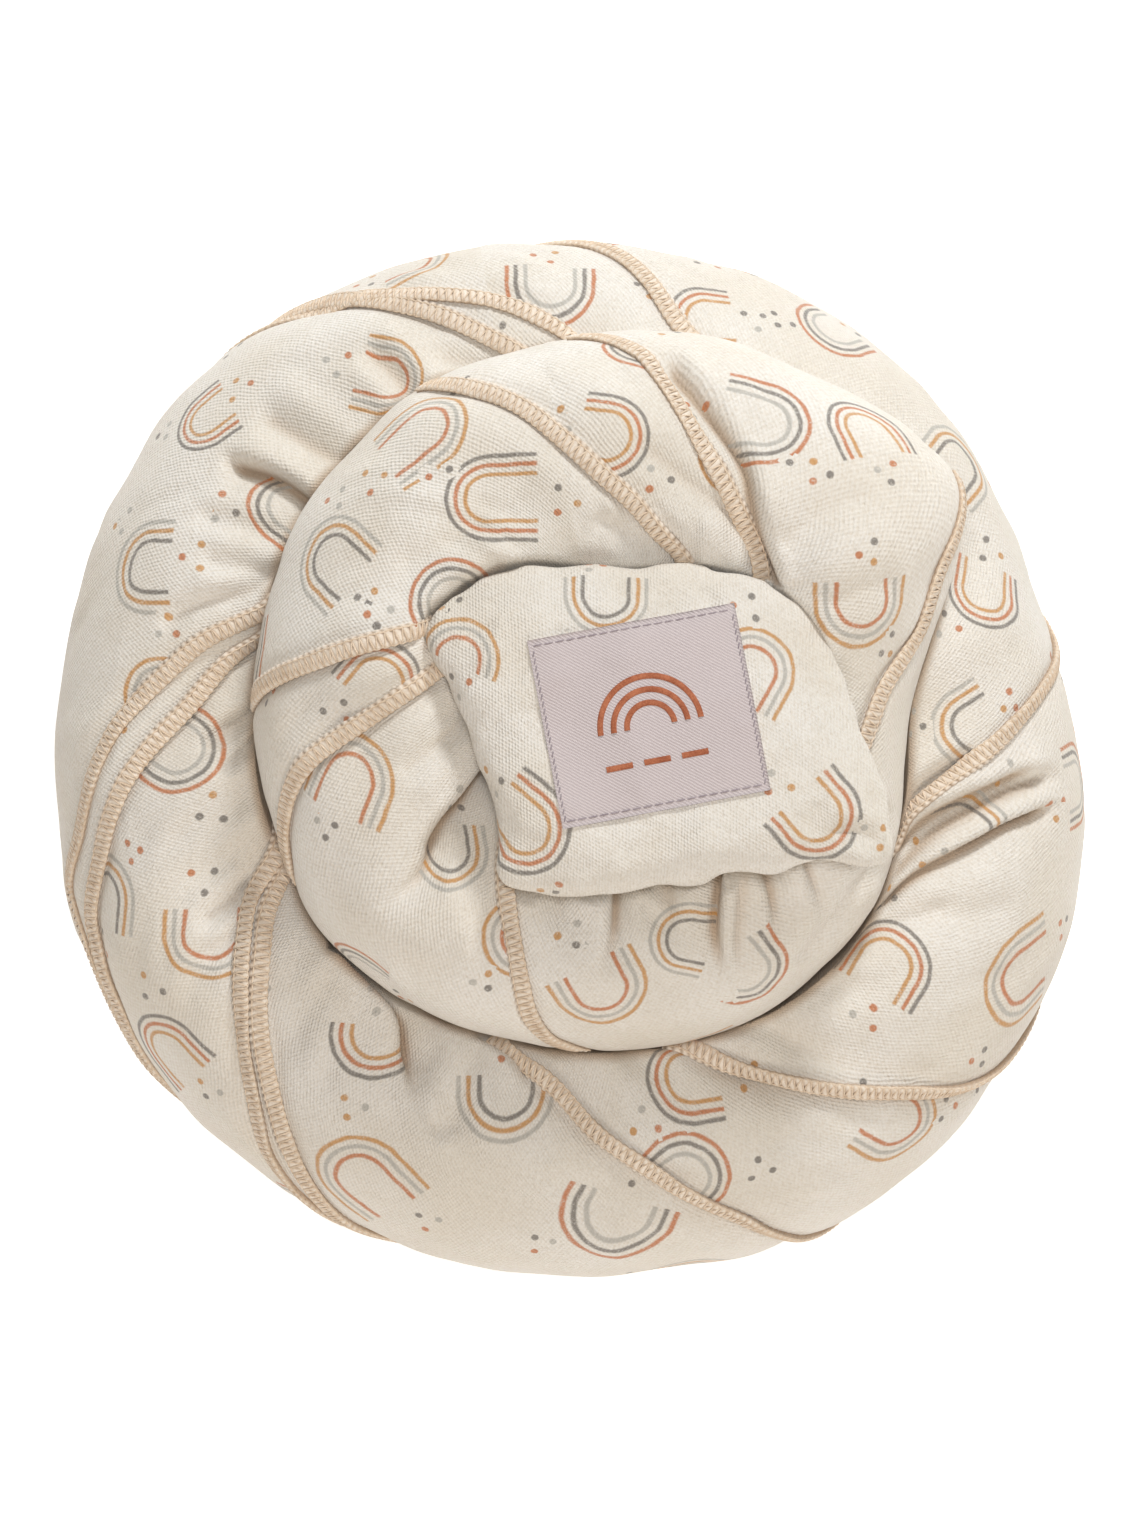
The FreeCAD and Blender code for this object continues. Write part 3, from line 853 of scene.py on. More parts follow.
def joined(name, shapes):
    """One mesh object from several lots of points and faces."""
    points, faces, start = [], [], 0
    for some_points, some_faces in shapes:
        points.append(some_points)
        faces.append(some_faces + start)
        start += len(some_points)
    return mesh_object(name, np.vstack(points), np.vstack(faces))


HEM_TOP = [(-2.4, 0.3), (-1.8, 0.75), (-0.9, 1.0), (0.0, 1.1), (0.9, 1.25), (1.8, 1.35), (2.4, 1.0)]
HEM_UNDER = [(2.55, 0.25), (2.0, -0.5), (0.0, -0.9), (-2.0, -0.5)]
HEM_STEP_ALONG = 0.36
STITCH_PITCH = 2.2
LOBE_HEIGHT = 0.45
NEEDLE_LINE = -1.7
THREAD_RADIUS = 0.27
LEAST_HEIGHT = 0.2


def hem_height(across):
    return np.interp(across, [p[0] for p in HEM_TOP], [p[1] for p in HEM_TOP])


def hem_strip(path):
    """The rolled raw edge: a ribbon that the stitches draw in to a row of slanting lobes. Also returns each point's
    painted shade, more the deeper it lies between the lobes, along the needle line, and full on the underside."""
    section = np.array(HEM_TOP + HEM_UNDER)
    along = np.arange(0, path.length[-1], HEM_STEP_ALONG)
    turn = math.pi * (along[:, None] + 0.35 * section[None, :, 0]) / STITCH_PITCH
    lobe = np.abs(np.sin(turn))
    on_top = (np.arange(len(section)) < len(HEM_TOP))[None, :]
    width = 1 + 0.05 * np.sin(along / 6.1) + 0.04 * np.sin(along / 2.7)
    across = section[None, :, 0] * (width[:, None] - 0.07 + 0.14 * lobe)
    height = section[None, :, 1] + np.where(on_top, LOBE_HEIGHT * (lobe - 0.5), 0.0)
    points, _ = path.at(np.repeat(along[:, None], len(section), 1), across, height)
    # Painted shade: the needle line's stitch holes, the pits between lobes and the whole underside are tinted brown
    needle = np.exp(-((section[None, :, 0] - NEEDLE_LINE) / 0.5) ** 2) * (0.5 + 0.5 * np.cos(2 * turn))
    painted_pit_shade = np.where(on_top, np.maximum((1 - lobe) ** 2, needle), 1.0)
    faces = grid_faces(len(along), len(section), False, True)
    return points.reshape(-1, 3), faces[:, ::-1], painted_pit_shade.ravel()


def hem_threads(path):
    """Looper thread that zigzags over the edge, its chain along the edge, and the needle line."""
    end = path.length[-1]
    pattern = np.array([(0.0, -1.6, 0.20), (0.30, -0.2, 0.24), (0.55, 1.2, 0.24), (0.85, 2.25, 0.22),
                        (1.15, 2.65, -0.20), (1.45, 2.25, 0.22), (1.75, 1.1, 0.24), (2.05, -0.3, 0.24)])
    count = max(1, int(end / STITCH_PITCH) - 1)
    starts = np.arange(count)[:, None] * STITCH_PITCH
    along = (starts + pattern[None, :, 0] * STITCH_PITCH / 2.3).ravel()
    across = np.tile(pattern[:, 1], count)
    height = hem_height(across) + np.tile(pattern[:, 2], count)
    zigzag = tube(*path.at(along, across, height), THREAD_RADIUS)
    s = np.arange(0, end, 0.45)
    wave = np.sin(2 * math.pi * s / STITCH_PITCH)
    chain = tube(*path.at(s, 2.45 + 0.16 * wave, 0.85 + 0.2 * np.abs(wave)), 1.1 * THREAD_RADIUS)
    needle = tube(*path.at(s, -1.6 + 0.08 * wave, hem_height(-1.6) + 0.15 * np.abs(wave)), THREAD_RADIUS)
    return [zigzag, chain, needle]


def hem_paths(turn):
    return [Path(*turn.shown(*turn.angles(line.places))) for line in turn.lines]


def above_floor(shapes):
    """The same points and faces, with nothing below the least height."""
    return [(np.maximum(points, (-np.inf, -np.inf, LEAST_HEIGHT)), faces) for points, faces in shapes]


# ---- The label ----------------------------------------------------------------------------------
LABEL_THICKNESS = 0.7
LABEL_STEP = 1.0
BORDER_INSET = 1.7
MOTIF_RADII = (14.0, 10.5, 7.0)
MOTIF_BASE = -3.0
MOTIF_BAR = (7.0, 10.0, 9.0)  # length, pitch and drop below the arches' feet


class Label:
    """The woven label as a thin slab that lies on the loose end."""

    def __init__(self, flap_tree):
        width, depth = LABEL_SIZE
        self.x = np.arange(-width / 2, width / 2 + 0.01, LABEL_STEP)
        self.y = np.arange(-depth / 2, depth / 2 + 0.01, LABEL_STEP)
        x, y = np.meshgrid(self.x, self.y, indexing="ij")
        flat = self.in_flap_plane(x, y)
        down = on_flap_plane(np.array([[0, 0, -1.0]])) - on_flap_plane(np.array([[0, 0, 0.0]]))
        starts = on_flap_plane(np.stack([flat[..., 0], flat[..., 1], np.full(x.shape, 40.0)], -1))
        rise = np.empty(x.shape)
        for index in np.ndindex(x.shape):
            place, _, _, _ = flap_tree.ray_cast(Vector(starts[index]), Vector(down[0]))
            rise[index] = to_flap_plane(np.array(place)[None])[0, 2] if place is not None else np.nan
        rise = np.where(np.isnan(rise), np.nanmean(rise), rise)
        smooth_rise = rise.copy()
        for _ in range(30):
            padded = np.pad(smooth_rise, 1, mode="reflect", reflect_type="odd")
            smooth_rise = (padded[:-2, 1:-1] + padded[2:, 1:-1] + padded[1:-1, :-2] + padded[1:-1, 2:]) / 4
        self.rise = np.maximum(smooth_rise, rise - 0.1) + 0.15

    @staticmethod
    def in_flap_plane(x, y):
        c, s = math.cos(math.radians(LABEL_TURN)), math.sin(math.radians(LABEL_TURN))
        return np.stack([LABEL_CENTRE[0] + c * x - s * y, LABEL_CENTRE[1] + s * x + c * y], -1)

    def at(self, x, y, height):
        """Points on the label, in the row frame."""
        x, y = np.asarray(x, float), np.asarray(y, float)
        i = np.clip((x - self.x[0]) / LABEL_STEP, 0, len(self.x) - 1.001)
        j = np.clip((y - self.y[0]) / LABEL_STEP, 0, len(self.y) - 1.001)
        a, b = i.astype(int), j.astype(int)
        s, t = i - a, j - b
        r = self.rise
        level = (1 - s) * (1 - t) * r[a, b] + s * (1 - t) * r[a + 1, b]
        level = level + (1 - s) * t * r[a, b + 1] + s * t * r[a + 1, b + 1]
        flat = self.in_flap_plane(x, y)
        return on_flap_plane(np.stack([flat[..., 0], flat[..., 1], level + LABEL_THICKNESS + height], -1))

    def build(self):
        x, y = np.meshgrid(self.x, self.y, indexing="ij")
        rows, columns = x.shape
        top = self.at(x, y, 0.0).reshape(-1, 3)
        under = self.at(x, y, -LABEL_THICKNESS).reshape(-1, 3)
        upper_faces = grid_faces(rows, columns)
        number = np.arange(rows * columns).reshape(rows, columns)
        rim = np.concatenate([number[:-1, 0], number[-1, :-1], number[:0:-1, -1], number[0, :0:-1]])
        ahead = np.roll(rim, -1)
        walls = np.stack([rim, rim + rows * columns, ahead + rows * columns, ahead], -1)
        faces = np.vstack([upper_faces, upper_faces[:, ::-1] + rows * columns, walls[:, ::-1]])
        obj = mesh_object("woven_label", np.vstack([top, under]), faces)
        corners = np.empty(len(obj.data.loops), np.int32)
        obj.data.loops.foreach_get("vertex_index", corners)
        flat = np.tile(np.stack([x, y, 0 * x], -1).reshape(-1, 3), (2, 1))
        set_corner_attribute(obj, "cloth", flat[corners])
        return obj

    def ribbon(self, xs, ys, half_width, height):
        """A raised satin-stitched line on the label."""
        line = np.stack([xs, ys], -1)
        ahead = unit(np.gradient(line, axis=0))
        side = np.stack([-ahead[:, 1], ahead[:, 0]], -1)
        section = [(-1.0, -0.1), (-0.85, 0.6), (-0.4, 1.0), (0.4, 1.0), (0.85, 0.6), (1.0, -0.1)]
        points = []
        for across, up in section:
            spot = line + side * across * half_width
            points.append(self.at(spot[:, 0], spot[:, 1], up * height))
        points = np.stack(points, 1)
        return points.reshape(-1, 3), grid_faces(len(line), len(section))[:, ::-1]

    def motif(self):
        shapes = []
        for radius in MOTIF_RADII:
            turn = np.linspace(0, math.pi, 60)
            mid = radius - 0.75
            shapes.append(self.ribbon(mid * np.cos(turn), MOTIF_BASE + mid * np.sin(turn), 0.8, 0.35))
        length, pitch, drop = MOTIF_BAR
        for number in (-1, 0, 1):
            xs = np.linspace(-length / 2, length / 2, 18) + number * pitch
            shapes.append(self.ribbon(xs, np.full(18, MOTIF_BASE - drop), 0.8, 0.35))
        return joined("label_arches", shapes)

    def stitch(self, x, y, dx, dy, length):
        t = np.linspace(-0.5, 0.5, 7)
        height = 0.22 * np.sqrt(np.maximum(0, 1 - (2 * t) ** 2)) - 0.08
        points = self.at(x + dx * length * t, y + dy * length * t, height)
        ups = np.tile(unit(on_flap_plane(np.array([[0, 0, 1.0]])) - on_flap_plane(np.zeros((1, 3)))), (7, 1))
        return tube(points, ups, 0.2, 6)

    def stitches(self):
        """A running stitch along the long sides, and closer stitches over the short ones."""
        width, depth = LABEL_SIZE
        shapes = []
        for y in (-depth / 2 + BORDER_INSET, depth / 2 - BORDER_INSET):
            for x in np.arange(-width / 2 + 2.5, width / 2 - 2, 2.9):
                shapes.append(self.stitch(x, y, 1, 0.04, 2.2))
        for x in (-width / 2 + 0.6 * BORDER_INSET, width / 2 - 0.6 * BORDER_INSET):
            for y in np.arange(-depth / 2 + 2.5, depth / 2 - 2, 1.9):
                shapes.append(self.stitch(x, y, 0.35, 0.94, 1.5))
        return joined("label_border_stitches", shapes)


# ---- The middle and the core --------------------------------------------------------------------
def lathe(name, profile, centre, count, lift):
    """A closed body of revolution from a profile of radius and height; lift moves each point."""
    turn = np.linspace(0, 2 * math.pi, count, endpoint=False)
    radius, height = profile[:, 0], profile[:, 1]
    r, t = np.meshgrid(radius, turn, indexing="ij")
    z = np.repeat(height[:, None], count, 1)
    shift = lift(r, t, z)
    points = np.stack([r * np.cos(t) + centre[0], r * np.sin(t) + centre[1], z + shift], -1)
    faces = grid_faces(len(profile), count, False, True)
    obj = mesh_object(name, points.reshape(-1, 3), faces)
    corners = np.empty(len(obj.data.loops), np.int32)
    obj.data.loops.foreach_get("vertex_index", corners)
    set_corner_attribute(obj, "cloth", points.reshape(-1, 3)[corners])
    set_point_attribute(obj, "sunk", np.zeros(len(obj.data.vertices)))
    return obj


def make_gather():
    """The cloth drawn in to the middle of the upper turn."""
    top_r = np.linspace(0.2, 24.5, 34)
    under_r = np.array([23.2, 22.0, 14.0, 0.2])
    top = np.column_stack([top_r, 97 - 10 * np.exp(-(top_r / 8) ** 2) - 4 * smooth(17, 24.5, top_r)])
    under = np.column_stack([under_r, [86.0, 76.0, 74.0, 74.0]])

    def swirl(r, t, z):
        folds = np.sin(9 * t + 0.22 * r) + 0.5 * np.sin(14 * t - 0.16 * r + 1.0)
        return np.where(z > 80, 1.6 * folds * smooth(2, 12, r), 0.0)

    return lathe("centre_gather_cloth", np.vstack([top, under])[::-1], UPPER_CENTRE, 260, swirl)


def make_core():
    """The core turn as the underside shows it: the rope's first spiral."""
    bottom_r = np.linspace(0.2, 63, 90)
    wall_z = np.array([14.0, 20.0, 29.0, 38.0, 43.0])
    wall_r = LOWER_RADIUS - np.sqrt((LOWER_ROPE + 2.5) ** 2 - (wall_z - LOWER_CENTRE[2]) ** 2)
    top_r = np.array([40.0, 20.0, 0.2])
    bottom = np.column_stack([bottom_r, 6 + 7 * smooth(52, 63, bottom_r)])
    profile = np.vstack([bottom, np.column_stack([wall_r, wall_z]), np.column_stack([top_r, [44.0] * 3])])

    def spiral(r, t, z):
        share = np.mod(r / 32 - t / (2 * math.pi), 1.0)
        groove = 9 * np.exp(-((np.minimum(share, 1 - share)) / 0.16) ** 2)
        twist = 1.2 * np.sin(7 * t + 0.12 * r)
        return np.where(z < 13.5, (groove + twist + 1.2) * smooth(0, 6, r) * (1 - smooth(56, 63, r)), 0.0)

    return lathe("core_turn_cloth", profile, np.zeros(3), 300, spiral)


# ---- Materials ----------------------------------------------------------------------------------
def linear(red, green, blue):
    """A colour named in 8-bit sRGB, as linear values."""
    values = []
    for level in (red, green, blue):
        c = level / 255
        values.append(c / 12.92 if c <= 0.04045 else ((c + 0.055) / 1.055) ** 2.4)
    return (*values, 1.0)


CLOTH = linear(237, 233, 227)
# Painted shade colour, for creases and for where the lower turn runs in under the upper one
PAINTED_CREVICE_SHADE = linear(170, 138, 104)
PRINT_COLOURS = {
    "dark": linear(116, 110, 104),
    "light": linear(182, 178, 170),
    "ochre": linear(198, 141, 70),
    "orange": linear(192, 110, 52),
}
# From the outer arch to the inner one
COLOURWAYS = [("dark", "orange", "ochre"), ("ochre", "light", "orange"),
              ("orange", "dark", "light"), ("light", "ochre", "dark")]
DOT_COLOURS = ("dark", "orange", "ochre", "light")


class Graph:
    """A short way to write a node material."""

    def __init__(self, name):
        self.material = bpy.data.materials.new(name)
        self.material.use_nodes = True
        self.tree = self.material.node_tree
        self.tree.nodes.clear()
        self.output = self.tree.nodes.new("ShaderNodeOutputMaterial")
        self.shader = self.tree.nodes.new("ShaderNodeBsdfPrincipled")
        self.tree.links.new(self.shader.outputs[0], self.output.inputs["Surface"])

    def link(self, value, socket):
        if isinstance(value, bpy.types.NodeSocket):
            self.tree.links.new(value, socket)
        else:
            socket.default_value = value

    def math(self, operation, *values, clamp=False):
        node = self.tree.nodes.new("ShaderNodeMath")
        node.operation = operation
        node.use_clamp = clamp
        for value, socket in zip(values, node.inputs):
            self.link(value, socket)
        return node.outputs[0]

    def vector(self, operation, *values):
        node = self.tree.nodes.new("ShaderNodeVectorMath")
        node.operation = operation
        for value, socket in zip(values, node.inputs):
            self.link(value, socket)
        return node.outputs[0]

    def scaled(self, vector, scale):
        return self.vector("MULTIPLY", vector, tuple(scale))

    def attribute(self, name, output="Vector"):
        node = self.tree.nodes.new("ShaderNodeAttribute")
        node.attribute_name = name
        return node.outputs[output]

    def split(self, vector):
        node = self.tree.nodes.new("ShaderNodeSeparateXYZ")
        self.link(vector, node.inputs[0])
        return node.outputs[0], node.outputs[1], node.outputs[2]

    def noise(self, vector, scale, detail=2.0, rough=0.5, output=0):
        node = self.tree.nodes.new("ShaderNodeTexNoise")
        self.link(vector, node.inputs["Vector"])
        node.inputs["Scale"].default_value = scale
        node.inputs["Detail"].default_value = detail
        node.inputs["Roughness"].default_value = rough
        return node.outputs[output]

    def band(self, value, low, high):
        """0 below low, 1 above high, smooth between."""
        node = self.tree.nodes.new("ShaderNodeMapRange")
        node.interpolation_type = "SMOOTHSTEP"
        self.link(value, node.inputs["Value"])
        node.inputs["From Min"].default_value = low
        node.inputs["From Max"].default_value = high
        return node.outputs[0]

    def mix(self, share, first, second, blend="MIX"):
        node = self.tree.nodes.new("ShaderNodeMix")
        node.data_type = "RGBA"
        node.blend_type = blend
        self.link(share, node.inputs[0])
        self.link(first, node.inputs[6])
        self.link(second, node.inputs[7])
        return node.outputs[2]

    def steps(self, value, colours):
        """A colour picked by a whole number."""
        node = self.tree.nodes.new("ShaderNodeValToRGB")
        node.color_ramp.interpolation = "CONSTANT"
        ramp = node.color_ramp.elements
        for number, colour in enumerate(colours):
            spot = ramp[number] if number < 2 else ramp.new(number / len(colours))
            spot.position = number / len(colours)
            spot.color = colour
        share = self.math("DIVIDE", self.math("ADD", value, 0.5), float(len(colours)))
        self.link(share, node.inputs[0])
        return node.outputs[0]

    def bump(self, height, distance, strength=1.0, normal=None):
        node = self.tree.nodes.new("ShaderNodeBump")
        self.link(height, node.inputs["Height"])
        node.inputs["Distance"].default_value = distance
        node.inputs["Strength"].default_value = strength
        if normal is not None:
            self.link(normal, node.inputs["Normal"])
        return node.outputs[0]


def knit(g, cloth):
    """The jersey's height: ribs of stitches with a little unevenness, from 0 to 1."""
    drift = g.noise(g.scaled(cloth, (0.05, 0.05, 0.05)), 1.0, 2.0)
    x, y, _ = g.split(cloth)
    x = g.math("ADD", x, g.math("MULTIPLY", drift, 3.0))
    rib = g.math("SINE", g.math("MULTIPLY", x, 2 * math.pi / 0.85))
    stitch = g.math("SINE", g.math("ADD", g.math("MULTIPLY", y, 2 * math.pi / 1.0), g.math("MULTIPLY", x, 3.6)))
    both = g.math("ADD", g.math("MULTIPLY", rib, 0.13), g.math("MULTIPLY", stitch, 0.10))
    fibre = g.noise(g.scaled(cloth, (1.7, 0.9, 1.0)), 1.0, 3.0, 0.65)
    return g.math("ADD", g.math("ADD", both, 0.35), g.math("MULTIPLY", fibre, 0.8))


def printed(g, ground, cloth):
    """The print over a ground colour: arches and dots with a crayon's broken edge."""
    wobble = g.noise(g.scaled(cloth, (0.22, 0.22, 0.22)), 1.0, 2.0, 0.5, 1)
    wobble = g.vector("MULTIPLY", g.vector("SUBTRACT", wobble, (0.5, 0.5, 0.5)), (0.7, 0.7, 0.0))
    u, v, kind = g.split(g.vector("ADD", g.attribute("mark"), wobble))
    grain = g.noise(g.scaled(cloth, (1.9, 1.9, 1.9)), 1.0, 2.0, 0.7)
    patch = g.noise(g.scaled(cloth, (0.35, 0.35, 0.35)), 1.0, 1.0)
    cover = g.math("ADD", g.math("MULTIPLY", grain, 1.5), g.math("MULTIPLY", patch, 0.5))
    cover = g.band(cover, 0.62, 1.02)
    cover = g.math("ADD", g.math("MULTIPLY", cover, 0.45), 0.40)
    rough_edge = g.math("MULTIPLY", g.math("SUBTRACT", grain, 0.5), 0.7)
    outer = g.math("SQRT", g.math("ADD", g.math("POWER", u, 2.0), g.math("POWER", g.math("MAXIMUM", v, 0.0), 2.0)))
    is_arch = g.math("MULTIPLY", g.math("GREATER_THAN", kind, -0.5), g.math("LESS_THAN", kind, 3.5))
    legs = g.band(g.math("ADD", v, rough_edge), -USUAL_LEG - 0.2, -USUAL_LEG + 0.3)
    colour = ground
    for number, radius in enumerate(ARCH_RADII):
        gap = g.math("ABSOLUTE", g.math("SUBTRACT", outer, radius))
        stroke = g.math("SUBTRACT", 1.0, g.band(g.math("ADD", gap, rough_edge), STROKE / 2 - 0.3, STROKE / 2 + 0.25))
        mask = g.math("MULTIPLY", g.math("MULTIPLY", stroke, legs), g.math("MULTIPLY", is_arch, cover))
        colours = [PRINT_COLOURS[way[number]] for way in COLOURWAYS]
        colour = g.mix(mask, colour, g.steps(kind, colours))
    distance = g.math("SQRT", g.math("ADD", g.math("POWER", u, 2.0), g.math("POWER", v, 2.0)))
    dot = g.math("SUBTRACT", 1.0, g.band(g.math("ADD", distance, rough_edge), DOT_RADIUS - 0.25, DOT_RADIUS + 0.2))
    dot = g.math("MULTIPLY", g.math("MULTIPLY", dot, g.math("GREATER_THAN", kind, 3.5)), cover)
    colours = [PRINT_COLOURS[name] for name in DOT_COLOURS]
    return g.mix(dot, colour, g.steps(g.math("SUBTRACT", kind, 4.0), colours))


def jersey_material():
    g = Graph("printed_jersey")
    cloth = g.attribute("cloth")
    height = knit(g, cloth)
    mottle = g.noise(g.scaled(cloth, (0.03, 0.03, 0.03)), 1.0, 3.0)
    warm = g.mix(g.band(mottle, 0.3, 0.7), CLOTH, linear(229, 222, 211))
    # Painted shade: the sunk attribute tints creases and the crevice under the upper turn darker and browner
    deep = g.band(g.attribute("sunk", "Fac"), 1.2, 8.0)
    ground = g.mix(g.math("MULTIPLY", deep, 0.75), warm, PAINTED_CREVICE_SHADE)
    fleck = g.noise(g.scaled(cloth, (1.5, 0.9, 1.2)), 1.0, 2.0, 0.7)
    ground = g.mix(g.math("MULTIPLY", g.band(fleck, 0.42, 0.72), 0.34), ground, linear(206, 190, 168))
    # Painted shade: the knit's hollows are tinted a darker tan
    thread = g.math("MULTIPLY", g.math("SUBTRACT", 1.0, g.band(height, 0.2, 1.0)), 0.38)
    ground = g.mix(thread, ground, linear(205, 190, 165))
    g.link(printed(g, ground, cloth), g.shader.inputs["Base Color"])
    rough = g.math("ADD", 0.80, g.math("MULTIPLY", mottle, 0.12))
    g.link(rough, g.shader.inputs["Roughness"])
    crumple = g.noise(g.scaled(cloth, (0.16, 0.09, 0.12)), 1.0, 4.0, 0.55)
    normal = g.bump(crumple, 0.0007, 0.5)
    g.link(g.bump(height, 0.00055, 0.9, normal), g.shader.inputs["Normal"])
    g.shader.inputs["Sheen Weight"].default_value = 0.25
    g.shader.inputs["Sheen Roughness"].default_value = 0.5
    g.shader.inputs["Sheen Tint"].default_value = (1.0, 0.97, 0.92, 1.0)
    g.shader.inputs["Specular IOR Level"].default_value = 0.2
    return g.material


def position(g, scale):
    """Object positions as a texture's coordinates, scaled to millimetres."""
    node = g.tree.nodes.new("ShaderNodeTexCoord")
    return g.scaled(node.outputs["Object"], (scale / MM,) * 3)


def yarn_material(name, light, dark, fuzz, bump_distance, painted_pit_shade=None):
    """Sewing thread or a knitted edge: fine strands, lighter on top and darker between them as painted shade, over a
    slow random tone, and a colour of painted shade for the pits between stitches."""
    g = Graph(name)
    strands = g.noise(position(g, fuzz), 1.0, 3.0, 0.6)
    tone = g.noise(position(g, fuzz * 0.12), 1.0, 2.0)
    share = g.math("ADD", g.math("MULTIPLY", strands, 0.7), g.math("MULTIPLY", tone, 0.5))
    colour = g.mix(g.band(share, 0.35, 0.85), dark, light)
    if painted_pit_shade:
        # Painted shade in the pits between stitches
        colour = g.mix(g.math("MULTIPLY", g.attribute("painted_pit_shade", "Fac"), 0.85), colour, painted_pit_shade)
    g.link(colour, g.shader.inputs["Base Color"])
    g.link(g.math("ADD", 0.65, g.math("MULTIPLY", strands, 0.2)), g.shader.inputs["Roughness"])
    g.link(g.bump(strands, bump_distance, 0.7), g.shader.inputs["Normal"])
    g.shader.inputs["Sheen Weight"].default_value = 0.2
    g.shader.inputs["Sheen Roughness"].default_value = 0.5
    g.shader.inputs["Specular IOR Level"].default_value = 0.25
    return g.material


def label_material():
    g = Graph("woven_twill")
    cloth = g.attribute("cloth")
    x, y, _ = g.split(cloth)
    diagonal = g.math("ADD", g.math("MULTIPLY", x, 0.8), y)
    uneven = g.noise(g.scaled(cloth, (0.5, 0.5, 0.5)), 1.0, 3.0)
    diagonal = g.math("ADD", diagonal, g.math("MULTIPLY", uneven, 0.5))
    twill = g.math("SINE", g.math("MULTIPLY", diagonal, 2 * math.pi / 0.95))
    weft = g.math("SINE", g.math("MULTIPLY", g.math("SUBTRACT", x, y), 2 * math.pi / 0.6))
    height = g.math("ADD", g.math("MULTIPLY", twill, 0.35), g.math("MULTIPLY", weft, 0.15))
    height = g.math("ADD", height, 0.5)
    fleck = g.noise(g.scaled(cloth, (2.4, 2.4, 2.4)), 1.0, 2.0, 0.7)
    share = g.math("ADD", g.math("MULTIPLY", height, 0.6), g.math("MULTIPLY", fleck, 0.6))
    g.link(g.mix(g.band(share, 0.25, 0.95), linear(184, 171, 172), linear(214, 203, 202)),
           g.shader.inputs["Base Color"])
    g.link(g.math("ADD", 0.5, g.math("MULTIPLY", fleck, 0.2)), g.shader.inputs["Roughness"])
    g.link(g.bump(height, 0.00018, 0.8), g.shader.inputs["Normal"])
    g.shader.inputs["Sheen Weight"].default_value = 0.15
    g.shader.inputs["Specular IOR Level"].default_value = 0.35
    return g.material


def wear(obj, material):
    obj.data.materials.clear()
    obj.data.materials.append(material)


# ---- Stage, light and camera --------------------------------------------------------------------
def make_floor():
    size = 3000.0
    corners = [(-size, -size, 0), (size, -size, 0), (size, size, 0), (-size, size, 0)]
    floor = mesh_object("studio_floor", np.array(corners, float), [[0, 1, 2, 3]])
    g = Graph("pale_floor")
    tone = g.noise(position(g, 0.002), 1.0, 2.0)
    g.link(g.mix(tone, (0.93, 0.93, 0.93, 1), (0.95, 0.95, 0.95, 1)), g.shader.inputs["Base Color"])
    g.shader.inputs["Roughness"].default_value = 0.9
    g.shader.inputs["Emission Color"].default_value = (1, 1, 1, 1)
    g.shader.inputs["Emission Strength"].default_value = 0.50
    wear(floor, g.material)


def area_light(name, place, target, size, power, colour=(1, 1, 1)):
    light = bpy.data.lights.new(name, "AREA")
    light.shape = "DISK"
    light.size = size
    light.energy = power
    light.color = colour
    obj = bpy.data.objects.new(name, light)
    obj.location = place
    obj.rotation_euler = (Vector(target) - Vector(place)).to_track_quat("-Z", "Y").to_euler()
    bpy.context.scene.collection.objects.link(obj)


def make_light():
    world = bpy.data.worlds.new("studio")
    world.use_nodes = True
    background = world.node_tree.nodes["Background"]
    background.inputs["Color"].default_value = (1.0, 0.90, 0.78, 1.0)
    background.inputs["Strength"].default_value = 0.27
    bpy.context.scene.world = world
    area_light("key", (0.4, 1.35, 0.95), (0, 0, 0.05), 0.3, 15.9, (0.94, 0.975, 1.0))
    area_light("overhead", (0.0, 0.2, 2.2), (0, 0, 0.05), 0.5, 16.0, (0.985, 0.99, 1.0))
    area_light("fill", (0.2, -1.3, 0.9), (0, 0, 0.05), 0.8, 8.3, (1.0, 0.93, 0.85))


def make_camera():
    data = bpy.data.cameras.new("camera")
    data.lens = CAMERA_LENS
    data.sensor_width = 36.0
    data.clip_start, data.clip_end = 0.1, 10.0
    camera = bpy.data.objects.new("camera", data)
    camera.location = CAMERA_PLACE * MM
    bpy.context.scene.collection.objects.link(camera)
    bpy.context.scene.camera = camera


# ---- Making it all ------------------------------------------------------------------------------
def make_turns():
    lower = Turn(LOWER_CENTRE, LOWER_RADIUS, LOWER_ROPE, 0.0, LOWER_OUTLINE, 592, 166)
    upper = Turn(UPPER_CENTRE, UPPER_RADIUS, UPPER_ROPE, UPPER_TILT, UPPER_OUTLINE, 440, 180)
    upper.shape(UPPER_HEMS, UPPER_CREASES, 11, (185, -12))
    upper.points = press_under_flap(upper.points)
    lower.shape(LOWER_HEMS, LOWER_CREASES, 3, (130, -120), lambda points: drawn_up(points, upper))
    moved, gap = kept_clear(lower.points, upper)
    # Painted shade: the lower turn is tinted darker where it runs in under the upper turn
    lower.sunk = np.maximum(lower.sunk, 8.0 * (1 - smooth(0.0, 6.0, gap)))
    lower.points = rest_on_floor(moved)
    return lower, upper


def add_print(obj, arches, seed, allowed, smooth_points=None, cuts=()):
    marks = Marks(obj, seed, smooth_points, cuts)
    marks.add_seen(arches)
    marks.scatter(PRINT_SPACING, allowed(marks))
    marks.finish()


def plain_cloth(obj):
    """Cloth coordinates for a piece with no grid: its plan position, and no creases."""
    corners = np.empty(len(obj.data.loops), np.int32)
    obj.data.loops.foreach_get("vertex_index", corners)
    set_corner_attribute(obj, "cloth", mesh_points(obj)[corners])
    set_point_attribute(obj, "sunk", np.zeros(len(obj.data.vertices)))


def facing_away(marks):
    return marks.normals[:, 2] < 0.1


def anywhere(marks):
    return marks.normals[:, 2] > -2


make_camera()
make_floor()
make_light()
bpy.context.scene.view_settings.view_transform = "Standard"

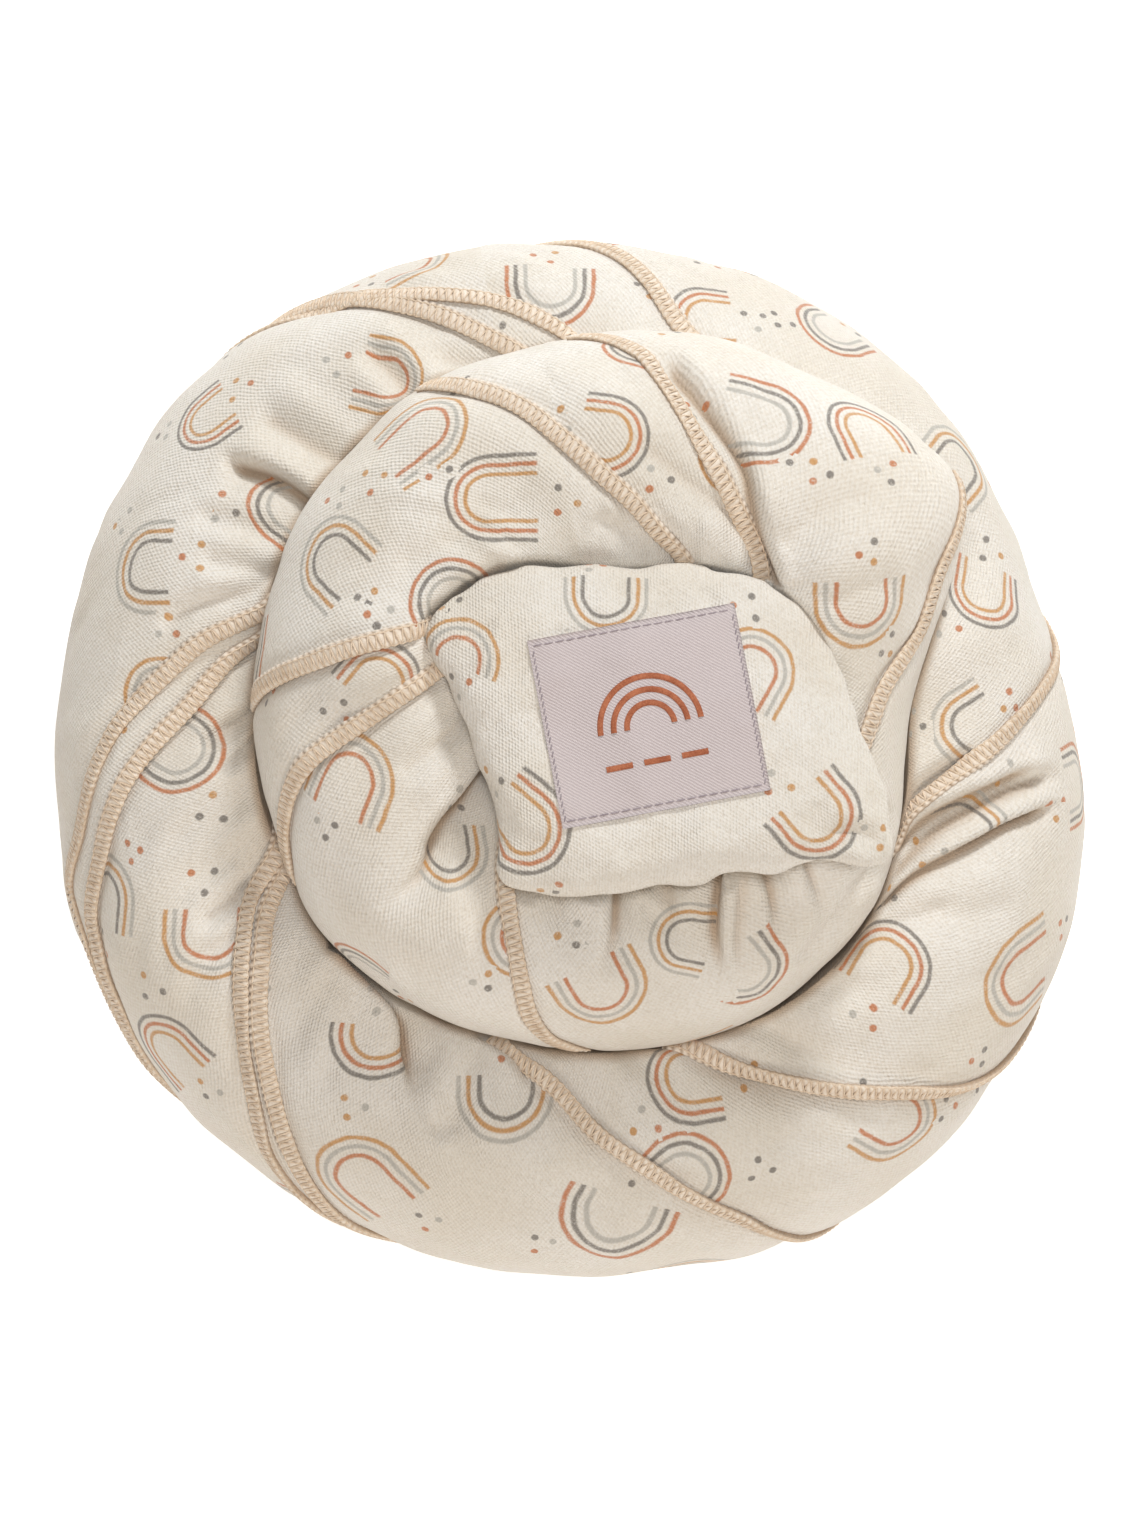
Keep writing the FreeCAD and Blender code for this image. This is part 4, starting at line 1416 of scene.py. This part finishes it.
jersey = jersey_material()
# The last colour is painted shade for the edges' pits
hem_cloth = yarn_material("overlocked_edge", linear(240, 229, 215), linear(220, 204, 186), 1.3, 0.0002,
                          painted_pit_shade=linear(168, 140, 112))
overlock_yarn = yarn_material("overlock_yarn", linear(238, 221, 200), linear(206, 181, 153), 2.6, 0.0001)
label_yarn = yarn_material("label_yarn", linear(176, 164, 168), linear(140, 128, 134), 2.6, 0.0001)
rust_yarn = yarn_material("rust_yarn", linear(190, 118, 84), linear(146, 78, 50), 2.2, 0.0001)

lower, upper = make_turns()
lower_cloth = lower.build("lower_turn_cloth")
upper_cloth = upper.build("upper_turn_cloth")
gather = make_gather()
core = make_core()
flap = make_flap()
plain_cloth(flap)
label = Label(surface_tree(flap))
label_piece = label.build()
stitches = label.stitches()
motif = label.motif()

add_print(lower_cloth, LOWER_ARCHES, 21, facing_away, lower.base, lower.cuts)
add_print(upper_cloth, UPPER_ARCHES, 22, facing_away, upper.base, upper.cuts)
add_print(flap, FLAP_ARCHES, 23, facing_away)
add_print(gather, [], 24, anywhere)
add_print(core, [], 25, anywhere)

hem_pieces = {}
for turn, word in ((lower, "lower"), (upper, "upper")):
    paths = hem_paths(turn)
    strips = [hem_strip(path) for path in paths]
    threads = [shape for path in paths for shape in hem_threads(path)]
    edges = joined(f"{word}_turn_edges", above_floor([strip[:2] for strip in strips]))
    set_point_attribute(edges, "painted_pit_shade", np.concatenate([strip[2] for strip in strips]))
    hem_pieces[word] = edges, joined(f"{word}_edge_threads", above_floor(threads))

for piece, node in ((lower_cloth, "lower_turn"), (upper_cloth, "upper_turn"), (gather, "centre_gather"),
                    (core, "core_turn")):
    wear(piece, jersey)
    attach(piece, "roll")
    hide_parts(node)

for word, (edges, threads) in hem_pieces.items():
    wear(edges, hem_cloth)
    wear(threads, overlock_yarn)
    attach(edges, "roll")
    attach(threads, "roll")
    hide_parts(f"{word}_turn_hems")
    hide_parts(f"{word}_hem_thread")

wear(flap, jersey)
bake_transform(flap)
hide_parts("end_flap")

for piece, node, slot, material in (
        (label_piece, "label_patch", "label", label_material()),
        (stitches, "label_stitching", "label_thread", label_yarn),
        (motif, "label_motif", "motif_thread", rust_yarn)):
    wear(piece, material)
    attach(piece, "flap")
    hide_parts(node)
